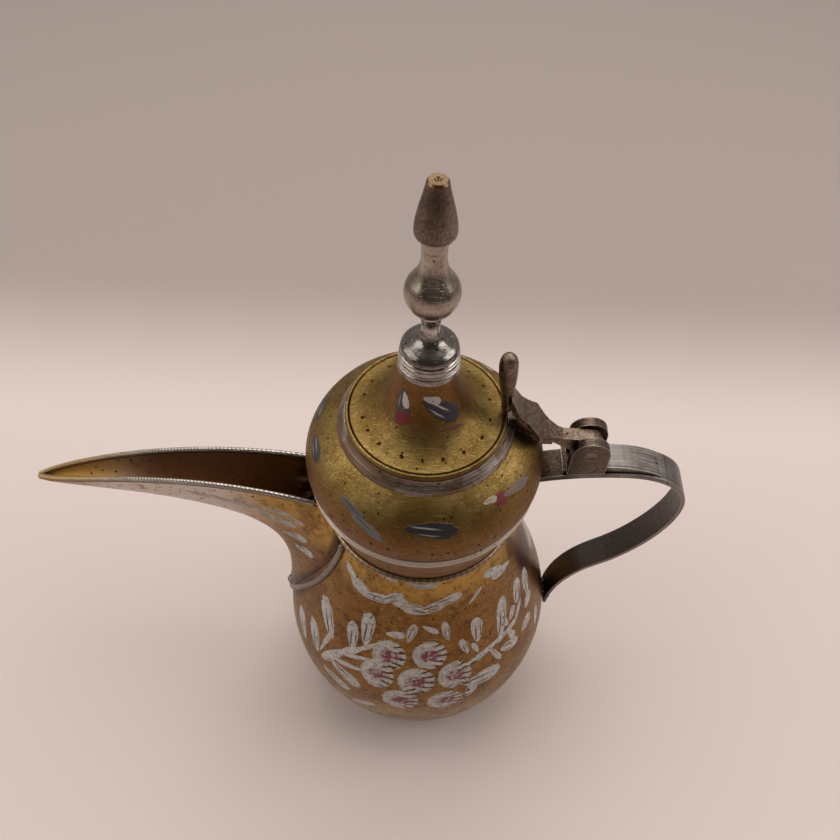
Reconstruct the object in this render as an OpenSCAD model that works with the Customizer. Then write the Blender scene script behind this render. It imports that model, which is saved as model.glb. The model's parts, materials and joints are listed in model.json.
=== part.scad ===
// Dallah coffee pot: spun brass bowl and collar, an open beak spout, a strap handle
// and a hinged lid with a turned finial. Millimetres. The origin is the centre of the
// flat bottom, +Z is up, the spout points to -X and the handle to +X.

/* [Bowl] */
// Radius of the flat bottom
base_r = 42; // [38:1:46]
// Largest radius of the bowl
belly_r = 64.5; // [62:0.5:67]
// Height of the widest part above the bottom
belly_z = 53; // [48:1:58]
// Outer radius of the neck, where the collar is soldered on
waist_r = 38; // [36:0.5:40]
// Height of the neck joint above the bottom
waist_z = 143; // [136:1:150]
// Length of the bowl's neck inside the collar
spigot_h = 5; // [3:0.5:7]
// Thickness of the spun sheet
wall = 1.2; // [0.8:0.1:1.6]
// Thickness of the soldered bottom disc
base_t = 1.6; // [1:0.1:2.5]
// Solder gap between two fixed pieces
seam = 0.1; // [0.05:0.05:0.2]

/* [Collar and mouth] */
// Height of the collar above the neck joint
collar_h = 30.7; // [28:0.1:34]
// Outer radius of the collar's mouth
mouth_r = 44.8; // [43:0.1:46]
// Height of the hoop round the mouth
hoop_h = 4.2; // [3:0.1:6]
// Thickness of the hoop round the mouth
hoop_t = 1.3; // [0.8:0.1:2]
// Radius of the half-round wire that covers the neck joint
joint_wire_r = 1.4; // [1:0.1:1.8]

/* [Spout] */
// Reach of the spout tip from the pot's axis
spout_reach = 165; // [150:1:180]
// Height of the spout tip
spout_tip_z = 147.4; // [142:0.2:152]
// Height of the point where the keel leaves the bowl
keel_root_z = 56; // [54:1:64]
// Highest point of the spout's edge, as a height above its tip
spout_crest = 12.7; // [9:0.1:14]
// Half width of the open channel at the collar
spout_half_w = 12.1; // [11:0.1:14]
// Greatest half width of the spout's root on the bowl
root_half_w = 21.6; // [18:0.2:24]
// Thickness of the spout's sheet
spout_t = 1.4; // [1:0.1:1.8]
// Radius of the wire along the spout's edge
edge_wire_r = 1.1; // [0.8:0.1:1.4]
// Diameter of the strainer holes behind the spout
strainer_d = 4.4; // [3:0.2:5]
// Spacing of the strainer holes along a row
strainer_pitch = 7.5; // [7:0.5:9]
// Height of the lowest row of strainer holes
strainer_z = 106; // [102:1:110]
// Spacing of the strainer rows
strainer_rise = 10; // [9:0.5:11]

/* [Handle] */
// Width of the handle strap
strap_w = 13.2; // [11:0.2:15]
// Thickness of the strap's arm
strap_t = 2.8; // [2:0.1:3.4]
// Thickness of the strap where it is hammered out, from the bend to the foot
strap_low_t = 1.5; // [1.2:0.1:2.4]
// Height of the arm's top face above the mouth
arm_rise = 5.5; // [4.5:0.1:6.5]
// Outermost reach of the handle from the pot's axis
handle_reach = 109.6; // [106:0.2:116]
// Height of the handle's outermost point
handle_bend_z = 154.2; // [150:0.2:158]
// Height of the strap's lower end
foot_z = 57; // [50:0.2:60]
// Radius of the rivets in the strap's foot
foot_rivet_r = 1.6; // [1.2:0.1:2]
// Spacing of the two rivets in the strap's foot
foot_rivet_gap = 6.4; // [5.8:0.2:7]

/* [Hinge] */
// Distance of the hinge pin beyond the lid's edge
pin_out = 18.2; // [17.6:0.2:21]
// Height of the hinge pin above the arm's top face
pin_rise = 11.4; // [10.8:0.1:12.4]
// Radius of the hinge pin
pin_r = 2; // [1.5:0.1:2.5]
// Running clearance round the pin, on the radius
pin_fit = 0.06; // [0.02:0.01:0.1]
// Radius of the rounded ears
ear_r = 7.4; // [6.5:0.1:8]
// Thickness of each ear
ear_t = 3.9; // [3:0.1:4.4]
// Thickness of the bracket's foot plate on the strap
bracket_t = 3.4; // [2:0.1:3.8]
// Side clearance between knuckle and ear
knuckle_gap = 0.25; // [0.15:0.05:0.4]

/* [Lid] */
// Gap between the closed lid's edge and the hoop
lid_gap = 0.4; // [0.3:0.1:0.8]
// Distance the lid's lower edge stands beyond the mouth
lid_overhang = 1.2; // [0.8:0.1:2.4]
// Height of the lid's dome
dome_h = 26.4; // [23:0.2:29]
// Distance of the polished band inside the lid's edge
band_inset = 12.2; // [11:0.2:14]
// Height of the polished band
band_h = 5.2; // [4:0.2:6]
// Distance of the crown's lip inside the band
lip_inset = 3.2; // [2.4:0.1:4]
// Height of the crown above the band
crown_h = 28.3; // [25:0.1:32]
// Thickness of the lid's spun sheet
lid_t = 1; // [0.8:0.1:1.4]
// Depth of the plug that centres the lid in the mouth
plug_h = 7; // [5:0.5:8]
// Clearance between the plug and the mouth
plug_fit = 0.8; // [0.5:0.1:1.2]

/* [Finial] */
// Outer radius of the finial cup and of the crown's top under it
cup_r = 10.4; // [9:0.2:11.4]
// Height of the finial cup
cup_h = 8.4; // [7:0.2:10]
// Radius of the ball
ball_r = 9.2; // [8:0.1:10]
// Height of the ball's centre above the cup
ball_rise = 26.6; // [24:0.2:29]
// Radius of the finial's necks
neck_r = 4; // [3.4:0.1:5]
// Length from the ball's centre to the foot of the tip
upper_neck = 23.2; // [20:0.2:26]
// Largest radius of the tip
tip_r = 6.6; // [5.6:0.1:7.4]
// Length of the tip
tip_h = 19.2; // [17:0.2:22]
// Radius of the tie rod
rod_r = 1.8; // [1.4:0.1:2.2]

/* [Lever] */
// Reach of the lever from the hinge pin to its end over the crown
lever_reach = 32.4; // [31:0.2:34]
// Rise of the lever's end above the knuckle
lever_rise = 21.3; // [19:0.1:24]
// Half width of the leaf at its widest
lever_half_w = 8.2; // [6.5:0.1:9]
// Thickness of the leaf
lever_t = 2.2; // [1.6:0.1:2.8]
// Radius of the knuckle round the hinge pin
knuckle_r = 5.2; // [4.4:0.1:6]
// Thickness of the web under the leaf
web_t = 4; // [3.6:0.2:5]
// Thickness of the lever's foot on the lid's dome
saddle_t = 1.4; // [1:0.1:2]
// Half width of the lever's foot on the lid's dome
saddle_half_w = 2.6; // [2.4:0.1:4.4]
// Radius of the rivets that hold the lever's foot
lever_rivet_r = 1.3; // [1:0.1:1.5]
// Length of the thumb piece
thumb_l = 31.4; // [28:0.2:34]
// Largest radius of the thumb piece, near its top
thumb_r = 3.45; // [3:0.05:4]
// Radius of the thumb piece at its foot
thumb_foot_r = 2.05; // [1.8:0.05:2.6]

/* [Hidden] */
brass = "#8f7440";
bowl_brass = "#7d5a2c";
tinned = "#8b867c";
steel = "#75706a";
nickel = "#8c8884";
bronze = "#6a5a48";
steps = 22;
eps = 0.01;

// Points on a cubic curve through four control points
function curve_at(p, t) = pow(1 - t, 3) * p[0] + 3 * t * pow(1 - t, 2) * p[1]
    + 3 * t * t * (1 - t) * p[2] + pow(t, 3) * p[3];
function curve(p, n = steps) = [for (i = [0 : n]) curve_at(p, i / n)];
function part_curve(p, a, b, n) = [for (i = [0 : n]) curve_at(p, a + (b - a) * i / n)];
function tail(list) = [for (i = [1 : len(list) - 1]) list[i]];
function reverse(list) = [for (i = [len(list) - 1 : -1 : 0]) list[i]];
// The same line moved d to its left
function beside(line, d) = [for (i = [0 : len(line) - 1])
    let (t = line[min(i + 1, len(line) - 1)] - line[max(i - 1, 0)])
    line[i] + d * [-t[1], t[0]] / norm(t)];
function mix(a, b, t) = a + (b - a) * t;
function ease(t) = t <= 0 ? 0 : t >= 1 ? 1 : t * t * (3 - 2 * t);

// Outer line of the bowl, from the bottom edge to the neck
bowl_low = [[base_r, 0], [base_r + 8, 2], [belly_r, belly_z - 28], [belly_r, belly_z]];
bowl_high = [[belly_r, belly_z], [belly_r, belly_z + 30],
    [waist_r + 7.5, waist_z - 31], [waist_r, waist_z]];
bowl_line = concat(curve(bowl_low), tail(curve(bowl_high)));
// Outer line of the collar, from the neck joint to the mouth
collar_foot_r = waist_r + seam + wall;
mouth_z = waist_z + collar_h;
arm_z = mouth_z + arm_rise;
hoop_z = mouth_z - hoop_h;
collar_flare = [[collar_foot_r, waist_z + spigot_h - 1], [collar_foot_r + 0.4, waist_z + spigot_h + 6],
    [mouth_r - 2.2, hoop_z - 6], [mouth_r, hoop_z]];
collar_line = concat([[collar_foot_r, waist_z]], curve(collar_flare, 14), [[mouth_r, mouth_z]]);
hoop_r = mouth_r + seam + hoop_t;
// Outer radius of the pot at any height
body_table = [for (p = concat(bowl_line, collar_line)) [p[1] + eps * (p[0] == collar_foot_r ? 1 : 0), p[0]]];
function body_r(z) = lookup(z, body_table);

// Lid
lid_r = mouth_r + lid_overhang;
band_r = lid_r - band_inset;
lip_r = band_r - lip_inset;
crown_top_r = cup_r;
lid_z = mouth_z + lid_gap;
dome_z = lid_z + dome_h;
dome_arc = [[lid_r, lid_z], [lid_r + 2.8, lid_z + 6.7], [lid_r + 1.5, dome_z - 7.2], [band_r - 0.3, dome_z]];
dome_line = curve(dome_arc);
band_z = dome_z;
crown_z = band_z + band_h;
crown_top_z = crown_z + crown_h;
plug_top_r = mouth_r - wall - plug_fit;

// Finial
cup_top_z = crown_top_z + cup_h - 0.6;
ball_z = cup_top_z + ball_rise;
tip_z = ball_z + upper_neck;
knop_foot_r = cup_r - 0.15;
// Point of the ball's outline at angle a from its lowest point
function ball_at(a) = [ball_r * sin(a), ball_z - ball_r * cos(a)];
nut_h = 3.2;
washer_t = 1;
washer_z = crown_top_z - lid_t - washer_t;
rod_low_z = washer_z - nut_h - 1.2;
rod_top_z = tip_z + tip_h * 0.6;

// Hinge
pin_x = lid_r + pin_out;
pin_z = arm_z + pin_rise;
ear_out = strap_w / 2 + 0.2;
ear_in = ear_out - ear_t;
knuckle_half_w = ear_in - knuckle_gap;

// Handle, as lines in the X-Z plane that follow the strap's outer face
arm_end = [pin_x + 14.8, arm_z];
arm_curve = [[mouth_r - 1.5, arm_z - 6.8], [mouth_r + 9.2, arm_z - 2.4], [pin_x + 2.8, arm_z - 0.5], arm_end];
bend_curve = [arm_end, [handle_reach - 13, arm_z + 1],
    [handle_reach, handle_bend_z + 16.5], [handle_reach, handle_bend_z]];
knee = [handle_reach - 24.6, handle_bend_z - 52.4];
fall_curve = [[handle_reach, handle_bend_z], [handle_reach, handle_bend_z - 20.5],
    knee + [10.4, 9.4], knee];
foot_x = belly_r + strap_low_t + seam;
foot_rivet_rise = 3.6;
foot_curve = [knee, knee - [8.8, 8], [foot_x + 0.9, foot_z + 24], [foot_x, foot_z]];
strap_line = concat(curve(arm_curve, 8), tail(curve(bend_curve, 14)), tail(curve(fall_curve, 12)),
    tail(curve(foot_curve, 12)));
strap_last = len(strap_line) - 1;
strap_inner = [for (i = [0 : strap_last]) let (t = strap_line[min(i + 1, strap_last)] - strap_line[max(i - 1, 0)])
    strap_line[i] + mix(strap_t, strap_low_t, ease((i - 10) / 12)) * [t[1], -t[0]] / norm(t)];
bracket_line = concat(part_curve(arm_curve, 0.36, 1, 6), tail(part_curve(bend_curve, 0, 0.33, 6)));
bracket_low = beside(bracket_line, seam);
bracket_top = [for (i = [0 : len(bracket_line) - 1])
    mix(bracket_low[i], beside(bracket_line, bracket_t)[i], i < 5 ? 1 : mix(1, 0.22, (i - 5) / 7))];

// Lever: its top line from the pin to its end, as shares of its reach and rise
lever_top = [for (p = [[0, 0], [0.22, 0], [0.34, 0.014], [0.4, 0.047], [0.46, 0.094], [0.52, 0.15],
        [0.58, 0.225], [0.67, 0.371], [0.76, 0.516], [0.82, 0.62], [0.88, 0.704], [0.94, 0.82],
        [1, 1], [1.04, 1.12]])
    [pin_x - p[0] * lever_reach, pin_z + knuckle_r + p[1] * lever_rise]];
// Its half width along that line, as shares of the reach and of the greatest half width
lever_side = [for (p = [[1.04, 0.5], [1, 0.56], [0.94, 0.65], [0.82, 0.71], [0.76, 0.82], [0.67, 1],
        [0.58, 0.71], [0.52, 0.55], [0.46, 0.44], [0.4, 0.34], [0.34, 0.3], [0, 0.3]])
    [pin_x - p[0] * lever_reach, max(knuckle_half_w, p[1] * lever_half_w)]];
lever_end = [pin_x - lever_reach, pin_z + knuckle_r + lever_rise];
thumb_foot = [lever_end[0] - 2.2, lever_end[1] - 8.4];
thumb_lean = 4;

module revolve(points) {
    rotate_extrude($fn = 120) polygon(points);
}

// A flat shape in the X-Z plane, given width w across Y
module across(w) {
    translate([0, w / 2, 0]) rotate([90, 0, 0]) linear_extrude(w) children();
}

// A cylinder through p at height z that points away from the axis at angle a, tilted up
module radial_drill(r, a, p, tilt, length) {
    rotate([0, 0, a]) translate([p[0], 0, p[1]]) rotate([0, 90 - tilt, 0])
        cylinder(r = r, h = length, center = true, $fn = 32);
}

module strainer_holes() {
    for (row = [0 : 2])
        for (i = [0 : row + 1]) {
            z = strainer_z + row * strainer_rise;
            r = body_r(z);
            a = (i - (row + 1) / 2) * strainer_pitch / r * 180 / PI;
            slope = atan((body_r(z - 2) - body_r(z + 2)) / 4);
            radial_drill(strainer_d / 2, 180 + a, [r, z], slope, 5 * wall);
        }
}

module foot_rivet_places() {
    for (side = [-1, 1]) translate([belly_r, side * foot_rivet_gap / 2, foot_z + foot_rivet_rise])
        rotate([0, 90, 0]) children();
}

module bowl_shell() {
    line = concat(bowl_line, [[waist_r, waist_z + spigot_h]]);
    inner = beside(line, wall);
    last = len(line) - 1;
    color(bowl_brass) difference() {
        revolve(concat(line, [[waist_r - wall, waist_z + spigot_h]],
            [for (i = [last - 1 : -1 : 1]) inner[i]], [[base_r - wall, 0]]));
        strainer_holes();
        foot_rivet_places() cylinder(r = foot_rivet_r + 0.02, h = 20, center = true, $fn = 32);
    }
}

module base_disc() {
    color(bowl_brass) cylinder(r = base_r - wall - seam, h = base_t, $fn = 120);
}

module collar_shell() {
    inner = beside(collar_line, wall);
    last = len(collar_line) - 1;
    color(brass) revolve(concat(collar_line, [[mouth_r - wall, mouth_z]],
        [for (i = [last - 1 : -1 : 1]) inner[i]], [[waist_r + seam, waist_z]]));
}

// The ring ends on both sides of the spout's root
module joint_ring() {
    spout_clear = root_w(root_depth(waist_z)) + 4 * seam;
    color(tinned) difference() {
        rotate_extrude($fn = 120) intersection() {
            translate([collar_foot_r + seam, waist_z + joint_wire_r + 0.3]) circle(r = joint_wire_r, $fn = 32);
            translate([collar_foot_r + seam, waist_z]) square([2 * joint_wire_r, 4 * joint_wire_r]);
        }
        translate([-2 * waist_r, -spout_clear, waist_z]) cube([2 * waist_r, 2 * spout_clear, 4 * joint_wire_r]);
    }
}

module mouth_hoop() {
    groove = 0.25;
    r_in = mouth_r + seam;
    pitch = hoop_h / 4;
    color(tinned) revolve(concat([[r_in, hoop_z], [hoop_r - 0.3, hoop_z]],
        [for (i = [0 : 3]) for (p = [[hoop_r, 0.3], [hoop_r, pitch - 0.3], [hoop_r - groove, pitch]])
            [p[0], hoop_z + i * pitch + p[1]]],
        [[r_in, mouth_z]]));
}

// Spout: lines of the keel and of the edge, and the half width along it
keel_low = [[-belly_r - 2.6, keel_root_z], [-belly_r + 2, keel_root_z + 20.5],
    [-belly_r + 4.4, keel_root_z + 41.5], [-belly_r - 4, keel_root_z + 57.5]];
keel_high = [keel_low[3], keel_low[3] + [-7, 17.5], [-spout_reach + 65, spout_tip_z - 2.6],
    [-spout_reach, spout_tip_z]];
shell_edge_drop = 2 * edge_wire_r;
edge_curve = [[-mouth_r + 0.8, hoop_z - 14.2], [-mouth_r - 35, spout_tip_z + spout_crest * 1.57],
    [-spout_reach + 43, spout_tip_z + spout_crest * 1.455], [-spout_reach, spout_tip_z + 1.3]];
root_share = 0.32;
stations = 36;
ribs = 9;
function keel_at(u) = u < root_share ? curve_at(keel_low, u / root_share)
    : curve_at(keel_high, (u - root_share) / (1 - root_share));
function edge_t(u) = u < root_share ? 0.12 * u / root_share
    : 0.12 + 0.88 * (u - root_share) / (1 - root_share);
function edge_at(u) = curve_at(edge_curve, edge_t(u)) - [0, shell_edge_drop * (1 - pow(u, 8))];
function half_w(u) = let (t = edge_t(u)) max(0.9, spout_half_w * (1 - 0.58 * t) * sqrt(1 - pow(t, 7)));
// Half width of the root on the bowl at depth d below the edge, 0 to 1
function root_depth(z) = (edge_at(0)[1] - z) / (edge_at(0)[1] - keel_root_z);
function root_w(d) = mix(spout_half_w, root_half_w, ease(d / 0.22)) * (1 - ease((d - 0.3) / 0.7) * 0.25)
    * sqrt(max(0, 1 - pow(d, 2.4)));
function root_point(d, side, inset) = let (
    z = mix(edge_at(0)[1], keel_root_z + inset, d),
    y = max(0, root_w(d) - inset * (1 - d)),
    r = body_r(z) + 0.3)
    [-sqrt(r * r - y * y), side * y, z];
function beak_point(u, d, side, inset) = let (
    e = edge_at(u), k = keel_at(u), deep = norm(k - e), w = half_w(u),
    thin = min(inset, 0.5 * w), low = min(inset, 0.5 * deep),
    p = mix(e, k, d * (deep - low) / deep))
    [p[0], side * (w - thin) * pow(1 - pow(d, 2.3), 0.62), p[1]];
function spout_point(u, d, side, inset) = let (f = pow(1 - min(1, u / 0.2), 2.4))
    mix(beak_point(u, d, side, inset), root_point(d, side, inset), f);
function rib_depth(i) = let (t = i / ribs) sin(90 * t);
function spout_ring(u) = concat(
    [for (i = [0 : ribs]) spout_point(u, rib_depth(i), -1, 0)],
    [for (i = [ribs - 1 : -1 : 0]) spout_point(u, rib_depth(i), 1, 0)],
    [for (i = [0 : ribs]) spout_point(u, rib_depth(i), 1, spout_t)],
    [for (i = [ribs - 1 : -1 : 0]) spout_point(u, rib_depth(i), -1, spout_t)]);

module spout_shell() {
    n = 4 * ribs + 2;
    half = 2 * ribs + 1;
    points = [for (s = [0 : stations]) each spout_ring(s / stations)];
    sides = [for (s = [0 : stations - 1]) for (i = [0 : n - 1]) let (j = (i + 1) % n)
        each [[s * n + i, (s + 1) * n + i, s * n + j], [s * n + j, (s + 1) * n + i, (s + 1) * n + j]]];
    root_cap = [for (i = [0 : half - 2]) each [[i, i + 1, n - 1 - i], [i + 1, n - 2 - i, n - 1 - i]]];
    tip = stations * n;
    tip_cap = [for (i = [0 : half - 2])
        each [[tip + i, tip + n - 1 - i, tip + i + 1], [tip + i + 1, tip + n - 1 - i, tip + n - 2 - i]]];
    color(bowl_brass) polyhedron(points, concat(sides, root_cap, tip_cap), convexity = 8);
}

// The wire runs from the collar along the near edge, round the tip and back
wire_stops = 30;
function wire_side(u, side) = let (e = edge_at(u), w = half_w(u))
    [e[0], side * (w - spout_t / 2), e[1] + edge_wire_r + 3 * seam];
wire_path = concat([for (i = [0 : wire_stops]) wire_side(mix(0.03, 0.995, i / wire_stops), -1)],
    [for (i = [wire_stops : -1 : 0]) wire_side(mix(0.03, 0.995, i / wire_stops), 1)]);

module tube(path, r, sides) {
    n = len(path);
    points = [for (i = [0 : n - 1])
        let (t0 = path[min(i + 1, n - 1)] - path[max(i - 1, 0)], t = t0 / norm(t0),
            a = cross(t, [0, 0, 1]), side = a / norm(a), up = cross(side, t))
        for (k = [0 : sides - 1]) path[i] + r * (cos(360 * k / sides) * side + sin(360 * k / sides) * up)];
    walls = [for (i = [0 : n - 2]) for (k = [0 : sides - 1]) let (m = (k + 1) % sides)
        each [[i * sides + k, i * sides + m, (i + 1) * sides + k],
              [i * sides + m, (i + 1) * sides + m, (i + 1) * sides + k]]];
    ends = [[for (k = [sides - 1 : -1 : 0]) k], [for (k = [0 : sides - 1]) (n - 1) * sides + k]];
    polyhedron(points, concat(walls, ends), convexity = 8);
}

module spout_edge_wire() {
    color(tinned) tube(wire_path, edge_wire_r, 10);
}

// The pot's outside as one solid, grown by g, to fit pieces on it
module pot_solid(g) {
    line = concat(bowl_line, [for (p = collar_line) if (p[1] <= hoop_z) p], [[hoop_r, hoop_z], [hoop_r, mouth_z]]);
    revolve(concat([[0, 0]], [for (p = line) [p[0] + g, p[1]]], [[0, mouth_z]]));
}

module handle_strap() {
    color(steel) difference() {
        across(strap_w) polygon(concat(strap_line, reverse(strap_inner)));
        pot_solid(seam);
        foot_rivet_places() cylinder(r = foot_rivet_r + 0.02, h = 30, center = true, $fn = 32);
    }
}

module handle_rivets() {
    head_h = 0.9;
    head_r = foot_rivet_r + 1;
    // The bowl curves away above the rivets, so the inner head stands off a little
    inner_face = body_r(foot_z + foot_rivet_rise + head_r) - belly_r - wall - 0.5;
    outer_face = strap_low_t + 6 * seam;
    color(steel) foot_rivet_places() rotate_extrude($fn = 32) polygon([
        [0, inner_face - head_h], [head_r - 0.5, inner_face - head_h], [head_r, inner_face],
        [foot_rivet_r, inner_face], [foot_rivet_r, outer_face], [head_r, outer_face],
        [head_r - 0.7, outer_face + head_h], [0, outer_face + head_h]]);
}

module ear_profile() {
    union() {
        translate([pin_x, pin_z]) circle(r = ear_r, $fn = 64);
        translate([pin_x - ear_r, arm_z - 1.5]) square([2 * ear_r, pin_z - arm_z + 1.5]);
    }
}

module hinge_bracket() {
    color(steel) difference() {
        union() {
            across(strap_w - 1.6) polygon(concat(bracket_low, reverse(bracket_top)));
            for (side = [-1, 1]) translate([0, side * (ear_in + ear_t / 2), 0]) across(ear_t) difference() {
                ear_profile();
                polygon(concat(beside(bracket_line, seam + 0.2), [[pin_x + 40, 150], [pin_x - 30, 150]]));
            }
        }
        translate([pin_x, 0, pin_z]) rotate([90, 0, 0])
            cylinder(r = pin_r + 0.02, h = 3 * strap_w, center = true, $fn = 48);
    }
}

module hinge_pin() {
    color(bronze) translate([pin_x, 0, pin_z]) rotate([90, 0, 0])
        cylinder(r = pin_r, h = 2 * ear_out - 0.6, center = true, $fn = 48);
}

module lid_dome() {
    inner = beside(dome_line, lid_t);
    last = len(dome_line) - 1;
    color(brass) difference() {
        revolve(concat(dome_line, [[lip_r - 1.6, dome_z], [lip_r - 1.6, dome_z - lid_t]],
            [for (i = [last - 1 : -1 : 1]) inner[i]], [[lid_r - lid_t, lid_z]]));
        lever_rivet_places() cylinder(r = lever_rivet_r + 0.02, h = 10, center = true, $fn = 32);
    }
}

module lid_plug() {
    flange_z = lid_z + 1.2;
    color(tinned) revolve([[lid_r - lid_t + 0.1, flange_z], [lid_r - lid_t + 0.3, flange_z + 1],
        [plug_top_r - 1.5, flange_z + 1], [plug_top_r - 4.1, lid_z - plug_h],
        [plug_top_r - 3, lid_z - plug_h], [plug_top_r, lid_z], [plug_top_r, flange_z]]);
}

module lid_band() {
    color(tinned) revolve(concat([[lip_r - 1.6, band_z]],
        curve([[band_r, band_z], [band_r - 0.2, band_z + 2], [lip_r + 0.7, crown_z - 2], [lip_r + 0.3, crown_z]], 8),
        [[lip_r - 1.6, crown_z]]));
}

crown_curve = [[lip_r - 2, crown_z + 2], [lip_r - 10.5, crown_z + 3.4],
    [crown_top_r + 2.2, crown_z + 8], [crown_top_r, crown_top_z]];

module lid_crown() {
    groove = [[lip_r, crown_z], [lip_r, crown_z + 1.2], [lip_r - 0.5, crown_z + 1.9],
        [lip_r - 1.1, crown_z + 1.9], [lip_r - 1.6, crown_z + 1.2]];
    inner = beside(curve(crown_curve), lid_t);
    color(brass) revolve(concat(groove, curve(crown_curve), [[rod_r + seam, crown_top_z],
        [rod_r + seam, crown_top_z - lid_t], [crown_top_r - lid_t, crown_top_z - lid_t]],
        [for (i = [steps - 1 : -1 : 0]) inner[i]], [[lip_r - 2.4, crown_z + 0.2], [lip_r - 2.4, crown_z]]));
}

// The cup widens to its foot and has three turned lines
module finial_cup() {
    z0 = crown_top_z;
    lines = [for (z = [cup_top_z - 5, cup_top_z - 3.8, cup_top_z - 1.8]) for (p = [[0, 0], [-0.3, 0.25], [0, 0.5]])
        [mix(cup_r, cup_r + 0.7, (cup_top_z - z) / cup_h) + p[0], z + p[1]]];
    color(nickel) revolve(concat([[rod_r + seam, z0], [cup_r + 0.3, z0], [cup_r + 0.7, z0 + 0.5],
        [cup_r + 0.6, z0 + 2.6]], lines, [[cup_r, cup_top_z - 0.4], [cup_r - 0.4, cup_top_z],
        [rod_r + seam, cup_top_z]]));
}

module finial_knop() {
    low_neck = neck_r - 0.85;
    foot_flare = [[knop_foot_r, cup_top_z + 0.6], [knop_foot_r - 0.2, cup_top_z + 4.8],
        [low_neck + 1.4, cup_top_z + 3.4], [low_neck + 0.3, cup_top_z + 8]];
    under_ball = [[low_neck, ball_z - 15], [low_neck, ball_z - 12.6],
        [low_neck + 0.9, ball_z - 11], [neck_r + 0.4, ball_z - 9.3]];
    sweep = asin((neck_r + 0.4) / ball_r);
    shoulder = 124;
    meet = ball_at(shoulder);
    over_ball = [meet, meet + 3.4 * [cos(shoulder), sin(shoulder)], [neck_r, ball_z + 10.4], [neck_r, ball_z + 15.4]];
    color(nickel) revolve(concat([[rod_r + seam, cup_top_z], [knop_foot_r - 0.4, cup_top_z]],
        curve(foot_flare, 14), curve(under_ball, 8),
        [for (i = [0 : 16]) ball_at(mix(sweep, shoulder, i / 16))], tail(curve(over_ball, 12)),
        [[neck_r + 0.2, tip_z - 2], [neck_r + 0.4, tip_z], [rod_r + seam, tip_z]]));
}

module finial_tip() {
    top_z = tip_z + tip_h;
    blind = rod_top_z + 1;
    taper = [[tip_r, tip_z + 1.6], [tip_r - 0.1, tip_z + 7], [tip_r - 2.4, top_z - 6], [tip_r - 3.3, top_z - 0.7]];
    color(bronze) revolve(concat([[rod_r + seam, tip_z], [tip_r - 0.8, tip_z], [tip_r - 0.2, tip_z + 0.5]],
        curve(taper, 12), [[tip_r - 3.8, top_z], [1.2, top_z], [0, top_z - 0.9], [0, blind], [rod_r + seam, blind]]));
}

module finial_rod() {
    color(steel) translate([0, 0, rod_low_z]) cylinder(r = rod_r, h = rod_top_z - rod_low_z, $fn = 32);
}

module rod_washer() {
    color(steel) translate([0, 0, washer_z]) difference() {
        cylinder(r = 3.2 * rod_r, h = washer_t, $fn = 48);
        translate([0, 0, -1]) cylinder(r = rod_r + seam, h = washer_t + 2, $fn = 32);
    }
}

module rod_nut() {
    color(steel) translate([0, 0, washer_z - nut_h]) difference() {
        cylinder(r = 2.3 * rod_r, h = nut_h, $fn = 6);
        translate([0, 0, -1]) cylinder(r = rod_r + seam, h = nut_h + 2, $fn = 32);
    }
}

// The dome's outside as one solid, grown by g along its slope
module dome_solid(g) {
    grown = beside(dome_line, -g);
    revolve(concat([[0, lid_z - 2], [lid_r + g, lid_z - 2]], grown, [[0, dome_z + g]]));
}

// The lever's two rivets stand square on the dome, at these shares of its arc
module lever_rivet_places() {
    for (share = [0.72, 0.9]) {
        p = curve_at(dome_arc, share);
        q = curve_at(dome_arc, share + 0.01);
        translate([p[0], 0, p[1]]) rotate([0, atan2(q[1] - p[1], p[0] - q[0]), 0]) children();
    }
}

module lever_plan() {
    polygon(concat(lever_side, [[pin_x + knuckle_r, knuckle_half_w], [pin_x + knuckle_r, -knuckle_half_w]],
        [for (p = reverse(lever_side)) [p[0], -p[1]]]));
}

module knuckle_profile() {
    union() {
        translate([pin_x, pin_z]) circle(r = knuckle_r, $fn = 64);
        polygon(concat([for (i = [0 : 5]) lever_top[i]], [[lever_top[5][0], lever_top[5][1] - 2 * lever_t],
            [pin_x - 8, pin_z - 1.6], [pin_x - 0.6 * knuckle_r, pin_z - 0.8 * knuckle_r], [pin_x, pin_z]]));
    }
}

// The web stands behind the thumb piece, clear of the band, and lands on the dome
module web_profile() {
    front = band_r + 5 * seam;
    polygon(concat([for (i = [4 : len(lever_top) - 2]) lever_top[i] - [0, lever_t / 2]],
        [[lever_end[0], crown_z + 3], [front, crown_z + 1], [front, dome_z - 8], [lid_r - 2, dome_z - 12],
         [lid_r - 0.6, dome_z - 9.4], [lever_top[4][0], lever_top[4][1] - 3 * lever_t]]));
}

module lid_lever() {
    color(bronze) difference() {
        union() {
            intersection() {
                across(4 * lever_half_w) polygon(concat(lever_top, reverse(beside(lever_top, lever_t))));
                translate([0, 0, lid_z]) linear_extrude(3 * lever_rise) lever_plan();
            }
            difference() {
                across(web_t) web_profile();
                dome_solid(seam + saddle_t / 2);
            }
            intersection() {
                difference() {
                    dome_solid(seam + saddle_t);
                    dome_solid(seam);
                }
                translate([band_r + 5 * seam, -saddle_half_w, dome_z - 7])
                    cube([band_inset, 2 * saddle_half_w, 12]);
            }
            across(2 * knuckle_half_w) knuckle_profile();
        }
        translate([pin_x, 0, pin_z]) rotate([90, 0, 0])
            cylinder(r = pin_r + pin_fit, h = 3 * strap_w, center = true, $fn = 48);
        lever_rivet_places() cylinder(r = lever_rivet_r + 0.02, h = 7, center = true, $fn = 32);
        thumb_solid(0.25);
    }
}

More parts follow.
